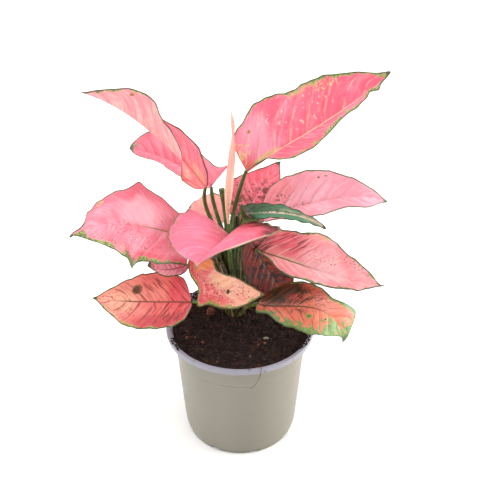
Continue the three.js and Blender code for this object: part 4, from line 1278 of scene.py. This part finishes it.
@dataclass
class RolledLeaf:
    """The new leaf, rolled to a spear: the sheet's free edge runs up its side, and its tip stands free."""

    line: Line = ((-8.5, 9, 192), (-8, 7, 226), (-5, 5, 262), (-6, 4, 295))
    shares: tuple[float, ...] = (0, 0.36, 0.6, 0.8, 0.88, 1)
    radii: tuple[float, ...] = (1.1, 3.2, 2.8, 1.1, 1.4, 0.3)
    lap: float = 0.5
    seam: float = 70
    twist: float = 2.4
    flattened: float = 0.25
    level: float = 0.85
    rows: int = 90
    sides: int = 32

    def build(self) -> None:
        """Builds the spear."""
        t = np.linspace(0, 1, self.rows + 1)
        curve = Curve(self.line)
        ahead = curve.ahead(t)
        side = unit(np.cross(ahead, np.array([0.0, 1.0, 0.0])))
        front = np.cross(side, ahead)
        last = len(self.shares) - 1
        steps = np.interp(t, self.shares, np.linspace(0, 1, last + 1)) * last
        low = np.minimum(steps.astype(int), last - 1)
        known = np.array(self.radii)
        radius = known[low] + (known[low + 1] - known[low]) * smooth(steps - low)
        angle = circle(self.sides)
        share = angle / (2 * math.pi)
        lap = self.lap * (share - 0.5)
        seam = math.radians(self.seam) + t[:, None] * self.twist
        flat = 1 - self.flattened * smooth((t - 0.7) / 0.2)
        reach = radius[:, None] + lap[None, :] * np.minimum(1, radius[:, None] / 2)
        x = reach * np.cos(angle[None, :] + seam)
        y = reach * np.sin(angle[None, :] + seam) * flat[:, None]
        rings = curve.at(t)[:, None, :] + side[:, None, :] * x[..., None] + front[:, None, :] * y[..., None]
        form = closed_tube(rings)
        form.marks["along"] = np.concatenate([np.repeat(t, self.sides), [0, 1]])
        form.marks["round"] = np.concatenate([np.tile(share, len(t)), [0, 0]])
        mesh = form.mesh("rolled_leaf", self._tissue())
        shade(mesh, 55)
        place("rolled_leaf_spear", mesh, "new_leaf", "rolled_leaf")

    def _tissue(self) -> Material:
        """Builds the material: young leaf tissue, pale and thin, with fine lines and a yellow foot."""
        paint = Paint("young_leaf_tissue", "#fbd2be", self.level)
        ring, way = paint.marks("round", "along")
        run = paint.add("CombineXYZ", {"X": ring, "Y": way})
        lines = paint.grain(0.07, where=run, stretch=(1, 0.12, 1))
        paint.lay("#facab6", (lines, 0.45, 0.7, 0.6))
        paint.lay("#eeb2a0", (way, 0.35, 0.65, 0.8))
        foot = paint.between(way, 0.55, 0.1)
        paint.lay("#f2e0a4", foot, (lines, 0.66, 0.3))
        paint.lay("#b7c27a", foot, (paint.grain(2.0), 0.56, 0.64, 0.8))
        paint.lay("#8a5a4a", (way, 0.965, 1.0, 0.7))
        paint.lay("#7a4a3a", (ring, 0.96, 1.0, 0.5), (way, 0.55, 0.7))
        return paint.finish(0.4, lines, 0.12, Specular_IOR_Level=0.4, Subsurface_Weight=0.12,
                            Subsurface_Scale=0.003)


# ---- Pot ------------------------------------------------------------------------------------------


@dataclass(frozen=True)
class Polypropylene:
    """Injection-moulded polypropylene: satin and even, with a fine mould texture, dusted with peat, with
    painted shade in its step.
    """

    wall: str = "#928d7f"
    shade: str = "#8a8477"
    rim: str = "#9e9ca8"
    # The peat colour also paints the shade in the corner of the step.
    peat: str = "#4a3226"

    TEXTURE = 0.8
    # The heights where the rim's paler colour starts, of the step with its thin line of painted shade, and of
    # the peat's smudges.
    RIM_FOOT = 96.6
    STEP = 78.9
    SMUDGES = (88, 99)

    def material(self) -> Material:
        """Builds the pot's material, which reads object coordinates."""
        paint = Paint("moulded_polypropylene", self.wall)
        paint.lay(self.shade, (paint.grain(60, 1, stretch=(1, 1, 0.3)), 0.4, 0.65, 0.7))
        up = paint.add("SeparateXYZ", {0: paint.spot}, out="Z")
        paint.lay(self.rim, (up, self.RIM_FOOT * MM, (self.RIM_FOOT + 0.6) * MM))
        # Painted shade: a thin, broken dark line in the step's corner, in the peat's colour.
        away = paint.add("Math", {0: up, 1: self.STEP * MM}, operation="SUBTRACT")
        away = paint.add("Math", {0: away}, operation="ABSOLUTE")
        paint.lay(self.peat, (away, 0.5 * MM, 0.2 * MM), (paint.grain(14, 2), 0.42, 0.6, 0.6))
        low, high = self.SMUDGES
        paint.lay(self.peat, (paint.grain(5, 4), 0.56, 0.7, 0.55), (up, low * MM, high * MM))
        roughness = paint.plus(0.34, (paint.grain(9, 2), 0.2))
        return paint.finish(roughness, paint.grain(self.TEXTURE, 2), 0.03, Specular_IOR_Level=0.45)


@dataclass
class Pot:
    """The pot: one moulding with a rim that stands out, a faint step, a flared wall and drain notches."""

    height: float = 101
    rim: float = 60
    rim_height: float = 4
    rim_width: float = 3.6
    rim_root: float = 55.6
    rim_round: float = 1.3
    lip_round: float = 0.8
    neck: float = 53.6
    neck_height: float = 93
    funnel: float = 52.4
    funnel_height: float = 95
    step: float = 52
    step_height: float = 79
    step_depth: float = 0.45
    shoulder: float = 45.6
    shoulder_height: float = 9
    foot: float = 43
    wall: float = 1.4
    floor: float = 2
    drains: int = 8
    drain_width: float = 8
    drain_height: float = 2.6
    drain_depth: float = 6
    first_drain: float = 0.35
    sides: int = 192

    def _profile(self) -> np.ndarray:
        """Gives the section from the middle of the underside round to the middle of the floor.

        The small numbers round its corners off.
        """
        arc = np.radians(np.linspace(0, 90, 7))
        foot, shoulder, low = self.foot, self.shoulder, self.shoulder_height
        step, ledge, high = self.step, self.step + self.step_depth, self.step_height
        small, large, root, lip = self.lip_round, self.rim_round, self.rim_root, self.height - self.rim_height
        points = [(0, 0), (foot - 14, 0), (foot - 4, 0), (foot - 1, 0)]
        points += [(foot - 1 + np.sin(a), 1 - np.cos(a)) for a in arc[1:]]
        points += [(foot + 1.1, 4), (shoulder - 0.3, low - 1.4), (shoulder, low + 0.4)]
        points += [(shoulder + 0.3, low + 3)]
        flare = ([low + 3, high], [shoulder + 0.3, step])
        points += [(np.interp(z, *flare), z) for z in np.linspace(20, high, 12)]
        points += [(step + 0.25, high + 0.15), (ledge, high + 0.6)]
        neck = ([high, self.neck_height], [ledge, self.neck])
        points += [(np.interp(z, *neck), z) for z in (84, 88.5, self.neck_height)]
        points += [(self.neck + 0.5, lip - 2), (root - 0.6, lip - 0.6), (root + 0.4, lip)]
        points += [(self.rim - small + small * np.sin(a), lip + small - small * np.cos(a)) for a in arc]
        rim, top = self.rim - large, self.height - large
        points += [(rim + large * np.cos(a), top + large * np.sin(a)) for a in arc]
        inner, top = self.rim - self.rim_width + small, self.height - small
        points += [(inner - small * np.sin(a), top + small * np.cos(a)) for a in arc]
        points += [(self.funnel, self.funnel_height), (step - self.wall, high)]
        points += [(shoulder - self.wall, low), (foot - self.wall, self.floor), (0, self.floor)]
        return np.array(points)

    def build(self) -> None:
        """Builds the pot by turning its section round the axis."""
        profile = self._profile()
        around = circle(self.sides)
        x = profile[1:-1, 0, None] * np.cos(around)
        y = profile[1:-1, 0, None] * np.sin(around)
        z = np.repeat(profile[1:-1, 1, None], self.sides, axis=1)
        form = closed_tube(np.stack([x, y, z], axis=-1))
        form.points[-2] = (0, 0, profile[0, 1])
        form.points[-1] = (0, 0, profile[-1, 1])
        wall = stand("pot_wall", form.mesh("pot"))
        cutter = stand("drains", self._drains().mesh("drains"))
        cut = wall.modifiers.new("drains", "BOOLEAN")
        cut.operation = "DIFFERENCE"
        cut.solver = "EXACT"
        cut.object = cutter
        mesh = bpy.data.meshes.new_from_object(wall.evaluated_get(bpy.context.evaluated_depsgraph_get()))
        bpy.data.objects.remove(wall)
        bpy.data.objects.remove(cutter)
        shade(mesh, 35)
        mesh.materials.clear()
        mesh.materials.append(Polypropylene().material())
        place("grower_pot", mesh, "pot", "pot")

    def _drains(self) -> Form:
        """Makes the blocks that cut the drain notches."""
        corners = np.array([(x, y, z) for x in (-1, 1) for y in (-1, 1) for z in (-1, 1)], float)
        block = corners * np.array([self.drain_depth, self.drain_width, 2 * self.drain_height]) / 2
        block += np.array([self.foot, 0, 0])
        sides = [(0, 1, 3, 2), (4, 6, 7, 5), (0, 4, 5, 1), (2, 3, 7, 6), (0, 2, 6, 4), (1, 5, 7, 3)]
        points, faces = [], []
        for n in range(self.drains):
            angle = (n + self.first_drain) / self.drains * 2 * math.pi
            cosine, sine = math.cos(angle), math.sin(angle)
            points.append(block @ np.array([[cosine, sine, 0], [-sine, cosine, 0], [0, 0, 1]]))
            faces += [tuple(8 * n + k for k in side) for side in sides]
        return Form(np.vstack(points), faces)


# ---- Soil -----------------------------------------------------------------------------------------


@dataclass(frozen=True)
class Peat:
    """Moist peat: dark, matt and crumbly. Each grain has its own brown."""

    dark: str = "#120907"
    brown: str = "#2a1611"
    rust: str = "#4a281b"

    def material(self, name: str, lighter: float = 0.0) -> Material:
        """Builds the peat's material.

        Args:
            name: the material's name.
            lighter: how much more rust-brown it is.

        Returns:
            The material. It reads object coordinates.
        """
        paint = Paint(name, self.dark)
        paint.lay(self.brown, (paint.grain(3.5, 4), 0.42 - lighter / 4, 0.62))
        paint.lay(self.rust, (paint.grain(1.3, seed=4), 0.56 - lighter / 4, 0.7, 0.7))
        return paint.finish(0.85, paint.grain(0.7), 0.35, Specular_IOR_Level=0.25)


@dataclass
class Soil:
    """The potting mix: a lumpy bed that fills the pot, with a low heap round the crown."""

    level: float = 98
    heap: float = 3.5
    heap_radius: float = 22
    swell: float = 1.1
    edge: float = 54.4
    rings: int = 110
    sides: int = 220

    # The lumps' widths, their heights and their places in the noise, from large to fine.
    LUMPS = ((5, 0.9, 1.3), (2, 0.7, 7.1), (1, 0.4, 3.3))
    # The body below the top, as distances from the axis and heights, from the floor up.
    BODY = ((38, 2.4), (43.8, 9), (50.2, 79), (52, 95))

    def height(self, x: float, y: float) -> float:
        """Gives the height of the bed at a point.

        Args:
            x: the point's place to the right.
            y: the point's place to the back.

        Returns:
            The height in millimetres.
        """
        waves = math.sin(0.31 * x + 1.7) * math.cos(0.27 * y - 0.6)
        waves += math.sin(0.19 * x - 0.33 * y + 4.1) + math.sin(0.11 * x + 0.52 * y + 2.2)
        away = math.hypot(x - CROWN[0], y - CROWN[1]) / self.heap_radius
        height = self.level + self.heap * math.exp(-away ** 2) + self.swell * waves / 3
        large, middling, fine = (
            rise * noise.noise(Vector((x / width, y / width, cut))) for width, rise, cut in self.LUMPS)
        return height + (large + middling) + fine

    def build(self) -> None:
        """Builds the bed, with a lumpy top and a plain body, and what lies on it."""
        around = circle(self.sides)
        rings = [[(r * math.cos(a), r * math.sin(a), z) for a in around] for r, z in self.BODY]
        for n in range(self.rings, 0, -1):
            radius = self.edge * n / self.rings
            ring = [(radius * math.cos(a), radius * math.sin(a)) for a in around]
            rings.append([(x, y, self.height(x, y)) for x, y in ring])
        form = closed_tube(np.array(rings))
        form.points[-1] = (0, 0, self.height(0, 0))
        place("soil_bed", form.mesh("soil", Peat().material("moist_peat")), "soil", "soil")
        Litter(self).build()


@dataclass(frozen=True)
class Scatter:
    """One kind of grain in the mix: how many lie on a square metre, and how large they are."""

    name: str
    density: float
    smallest: float
    largest: float
    seed: int

    def strew(self, growth: Growth, form: Form, tissue: Material, beds: list[Mesh]) -> None:
        """Strews the grains, in one piece for each bed.

        Args:
            growth: the tree that strews them.
            form: one grain.
            tissue: its material.
            beds: the surfaces that they lie on.
        """
        grain = bpy.data.objects.new(self.name + "_grain", form.mesh(self.name + "_grain"))
        values = {"Grain": grain, "Density": self.density, "Smallest": self.smallest,
                  "Largest": self.largest, "Seed": self.seed, "Tissue": tissue}
        for n, bed in enumerate(beds, 1):
            name = self.name if len(beds) == 1 else "%s_%d" % (self.name, n)
            place(name, growth.grow(name, bed.copy(), values), "soil")
        bpy.data.objects.remove(grain)


@dataclass
class Litter:
    """The crumbs, fibres, bark, roots and perlite on the bed, and the crumbs spilled on the rim."""

    soil: Soil

    CRUMBS = Scatter("soil_crumbs", 420_000, 0.35, 1.1, 3)
    LUMPS = Scatter("soil_lumps", 26_000, 1.1, 2.1, 8)
    FIBRES = Scatter("soil_fibres", 62_000, 2.2, 6.5, 5)
    CHIPS = Scatter("soil_chips", 3_000, 1.0, 2.0, 13)
    SPILLED = Scatter("spilled_crumbs", 420_000, 0.4, 1.3, 17)
    # The spills' ends in degrees round the rim, and the rim's slope as distances out and heights.
    SPILLS = ((-163, -145), (-33, -6), (74, 142))
    SLOPE = ((54.2, 98.0), (56.2, 100.4), (57.0, 101.0), (59.0, 101.0))
    TOP_EDGE = 54.3
    TOP_RINGS = 24
    TOP_SIDES = 48
    ROOTS = (
        ((-12.5, 13.8, 101.5), (-14.5, 7, 99.6), (-13.2, 0, 99.2), (-13.4, -7, 99), (-15, -14, 98.8),
         (-15.1, -21.7, 98.7)),
        ((14, -48, 99), (15.4, -52.5, 100.6), (16.3, -55.6, 101.5), (16.8, -58, 101.3), (15.5, -58.9, 95),
         (13, -58.6, 88.5), (10.5, -58.5, 85), (8, -58.2, 82.6)),
    )
    ROOT_RADIUS = 0.28
    FIBRE_RADIUS = 0.022

    def _growth(self) -> Growth:
        """Builds the tree that strews one kind of grain over a bed.

        Returns:
            The geometry tree, with inputs for the grain, its sizes, its number and its seed.
        """
        growth = Growth("strewn_grains", {
            "Bed": "Geometry", "Grain": "Object", "Density": "Float", "Smallest": "Float",
            "Largest": "Float", "Seed": "Int", "Tissue": "Material"})
        tree, given = growth.tree, growth.given
        seed = {"Seed": given["Seed"]}
        bed = {"Mesh": given["Bed"], "Density": given["Density"], **seed}
        spots = add(tree, "GeometryNodeDistributePointsOnFaces", bed)
        grain = add(tree, "GeometryNodeObjectInfo", {"Object": given["Grain"]}, out="Geometry")
        sizes = {2: given["Smallest"], 3: given["Largest"], **seed}
        size = add(tree, "FunctionNodeRandomValue", sizes, out=1, data_type="FLOAT")
        turns = {0: (-0.5, -0.5, 0.0), 1: (0.5, 0.5, 2 * math.pi), **seed}
        turn = add(tree, "FunctionNodeRandomValue", turns, data_type="FLOAT_VECTOR")
        strewn = {"Points": spots, "Instance": grain, "Rotation": turn, "Scale": size}
        growth.end(add(tree, "GeometryNodeInstanceOnPoints", strewn))
        return growth

    def _top(self) -> Mesh:
        """Makes the surface that grains are strewn over: the bed's top, clear of the pot's wall."""
        reaches = np.linspace(self.TOP_EDGE, 1, self.TOP_RINGS)
        spots = [(r * math.cos(a), r * math.sin(a)) for r in reaches for a in circle(self.TOP_SIDES)]
        points = np.array([(x, y, self.soil.height(x, y) + 0.05) for x, y in spots])
        return Form(points, grid_faces(self.TOP_RINGS, self.TOP_SIDES, closed=True)).mesh("soil_top")

    def _ledge(self, start: float, end: float) -> Mesh:
        """Makes the part of the pot's rim that soil is spilled on, between two angles in degrees."""
        arc = np.radians(np.linspace(end, start, 12))
        points = [(r * math.cos(a), r * math.sin(a), z) for r, z in self.SLOPE for a in arc]
        return Form(np.array(points), grid_faces(len(self.SLOPE), len(arc))).mesh("rim_ledge")

    def _lump(self, x: float, y: float, up: float, size: Point, seed: float) -> Form:
        """Makes one lump.

        Args:
            x: its place to the right.
            y: its place to the back.
            up: how far its middle is above the bed.
            size: its radii.
            seed: makes it unlike the others.

        Returns:
            The lump.
        """
        form = self._crumb(seed, 1, 8, 12)
        form.points = form.points * np.array(size) + np.array((x, y, self.soil.height(x, y) + up))
        return form

    def _root(self, spots: Line) -> Form:
        """Makes a thin root through some spots."""
        share = np.linspace(0, 1, 10 * len(spots))
        middle = np.stack([through(way, share) for way in np.array(spots, float).T], axis=-1)
        ahead = unit(np.gradient(middle, axis=0))
        side = unit(np.cross(ahead, np.array([1.0, 0.3, 0.2])))
        angle = circle(6)[None, :, None]
        ring = side[:, None] * np.cos(angle) + np.cross(ahead, side)[:, None] * np.sin(angle)
        thick = self.ROOT_RADIUS * (1 - 0.5 * share)[:, None, None]
        return closed_tube(middle[:, None] + ring * thick)

    def _crumb(self, seed: float, flat: float, rows: int, sides: int) -> Form:
        """Makes one rough lump of unit radius.

        Args:
            seed: makes it unlike the others.
            flat: its height beside its width.
            rows: its rings.
            sides: the sides of a ring.

        Returns:
            The lump.
        """
        rings = []
        for theta in np.linspace(0, math.pi, rows + 2)[1:-1]:
            ring = []
            out, down = math.sin(theta), math.cos(theta)
            for phi in circle(sides):
                ray = Vector((out * math.cos(phi), out * math.sin(phi), -down))
                reach = 0.85 + 0.55 * noise.noise(ray * 1.7 + Vector((seed, 0, 0)))
                ring.append((ray.x * reach, ray.y * reach, ray.z * reach * flat))
            rings.append(ring)
        return closed_tube(np.array(rings))

    def _fibre(self) -> Form:
        """Makes one bent fibre of unit length, which thins out to its end."""
        t = np.linspace(0, 1, 8)
        middle = np.stack([t - 0.5, 0.13 * np.sin(4.4 * t), 0.05 * np.sin(7 * t) + 0.04], axis=-1)
        angle = circle(4)
        thick = self.FIBRE_RADIUS * (1 - 0.6 * t)
        ring = np.stack([0 * angle, np.cos(angle), np.sin(angle)], axis=-1)
        return closed_tube(middle[:, None, :] + ring[None] * thick[:, None, None])

    def build(self) -> None:
        """Strews each kind of grain and lays the single pieces that stand out."""
        growth = self._growth()
        peat = Peat().material("peat_crumb", 0.25)
        rust = Peat("#20110c", "#382015", "#553220").material("peat_lump", 0.3)
        wood = Peat("#4a2c1b", "#6b4429", "#8c6238").material("root_fibre", 0.3)
        bark = Peat("#5a3020", "#8c5440", "#a8694c").material("pine_bark", 0.2)
        white = Peat("#9c968c", "#b5afa6", "#8c857a").material("perlite")
        top = [self._top()]
        self.CRUMBS.strew(growth, self._crumb(1.1, 0.7, 2, 5), peat, top)
        self.LUMPS.strew(growth, self._crumb(5.2, 0.7, 5, 9), rust, top)
        self.FIBRES.strew(growth, self._fibre(), wood, top)
        self.CHIPS.strew(growth, self._crumb(9.4, 0.3, 3, 6), bark, top)
        ledges = [self._ledge(*ends) for ends in self.SPILLS]
        self.SPILLED.strew(growth, self._crumb(3.3, 0.7, 3, 6), peat, ledges)
        singles = [
            ("bark_chip", self._lump(-24, 15.5, 1.6, (4.6, 2.4, 5.4), 6.1), bark),
            ("perlite_grain", self._lump(20.8, -15.3, 0.4, (2.4, 1.3, 1.0), 2.2), white),
        ]
        singles += [("root_%d" % n, self._root(spots), wood) for n, spots in enumerate(self.ROOTS, 1)]
        for name, form, tissue in singles:
            place(name, form.mesh(name, tissue), "soil")


# ---- Studio ---------------------------------------------------------------------------------------


@dataclass(frozen=True)
class SoftBox:
    """One square soft box: its place and its side in metres, its power in watts and its colour."""

    name: str
    spot: Point
    side: float
    power: float
    colour: str

    AIM = (0, 0, 0.16)

    def hang(self) -> None:
        """Hangs the box, so that it faces the plant."""
        lamp = bpy.data.lights.new(self.name, "AREA")
        lamp.shape = "SQUARE"
        lamp.size = self.side
        lamp.energy = self.power
        lamp.color = linear(self.colour)[:3]
        light = stand(self.name, lamp)
        light.location = self.spot
        aim = Vector(self.AIM) - Vector(self.spot)
        light.rotation_euler = aim.to_track_quat("-Z", "Y").to_euler()


@dataclass
class Studio:
    """The floor, the soft lights and the camera."""

    aim: Point = (8, 0, 174)
    distance: float = 1082
    depression: float = 34.5
    lens: float = 100
    sensor: float = 36
    floor_colour: str = "#f4f3f1"
    floor_reach: float = 6000
    daylight: float = 0.92
    boxes: tuple[SoftBox, ...] = (
        SoftBox("key", (1.55, 0.15, 0.5), 1.2, 42, "#fffefa"),
        SoftBox("fill", (-1.4, -0.1, 0.8), 1.4, 20, "#fbfcff"),
        SoftBox("top", (0.1, 0.1, 2.0), 1.6, 26, "#ffffff"),
    )

    def build(self) -> None:
        """Builds the floor, the world, the lights and the camera."""
        self._floor()
        self._world()
        for box in self.boxes:
            box.hang()
        self._camera()
        view = bpy.context.scene.view_settings
        view.view_transform = "Standard"
        view.look = "None"

    def _floor(self) -> None:
        """Lays a large floor of matt white paper, which takes soft shadows without a gleam."""
        paper = Paint("matt_paper", self.floor_colour, 1.0).finish(0.9, Specular_IOR_Level=0.2)
        corners = np.array([(-1, -1, 0), (1, -1, 0), (1, 1, 0), (-1, 1, 0)]) * self.floor_reach
        floor = stand("floor", Form(corners, [(0, 1, 2, 3)]).mesh("floor", paper))
        floor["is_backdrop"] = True

    def _world(self) -> None:
        """Fills the room with even white light."""
        world = bpy.data.worlds.new("studio")
        world.use_nodes = True
        background = world.node_tree.nodes["Background"].inputs
        background["Color"].default_value = (1, 1, 1, 1)
        background["Strength"].default_value = self.daylight
        bpy.context.scene.world = world

    def _camera(self) -> None:
        """Sets the camera at the photograph's angle."""
        down = math.radians(self.depression)
        aim = Vector(self.aim) * MM
        eye = aim + Vector((0, -math.cos(down), math.sin(down))) * self.distance * MM
        lens = bpy.data.cameras.new("camera")
        lens.lens = self.lens
        lens.sensor_width = self.sensor
        camera = stand("camera", lens)
        camera.location = eye
        camera.rotation_euler = (aim - eye).to_track_quat("-Z", "Y").to_euler()
        bpy.context.scene.camera = camera


def main() -> None:
    """Builds the studio and the plant."""
    for thing in (Studio(), Pot(), Soil(), Stem(), RolledLeaf(), *LEAVES):
        thing.build()
    boxes = {"cad": CAD_BOX, "visual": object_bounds()}
    {key: [[float(c) for c in corner] for corner in box] for key, box in boxes.items()}


if __name__ == "__main__":
    logging.basicConfig(level=logging.INFO, format="%(message)s")
    main()
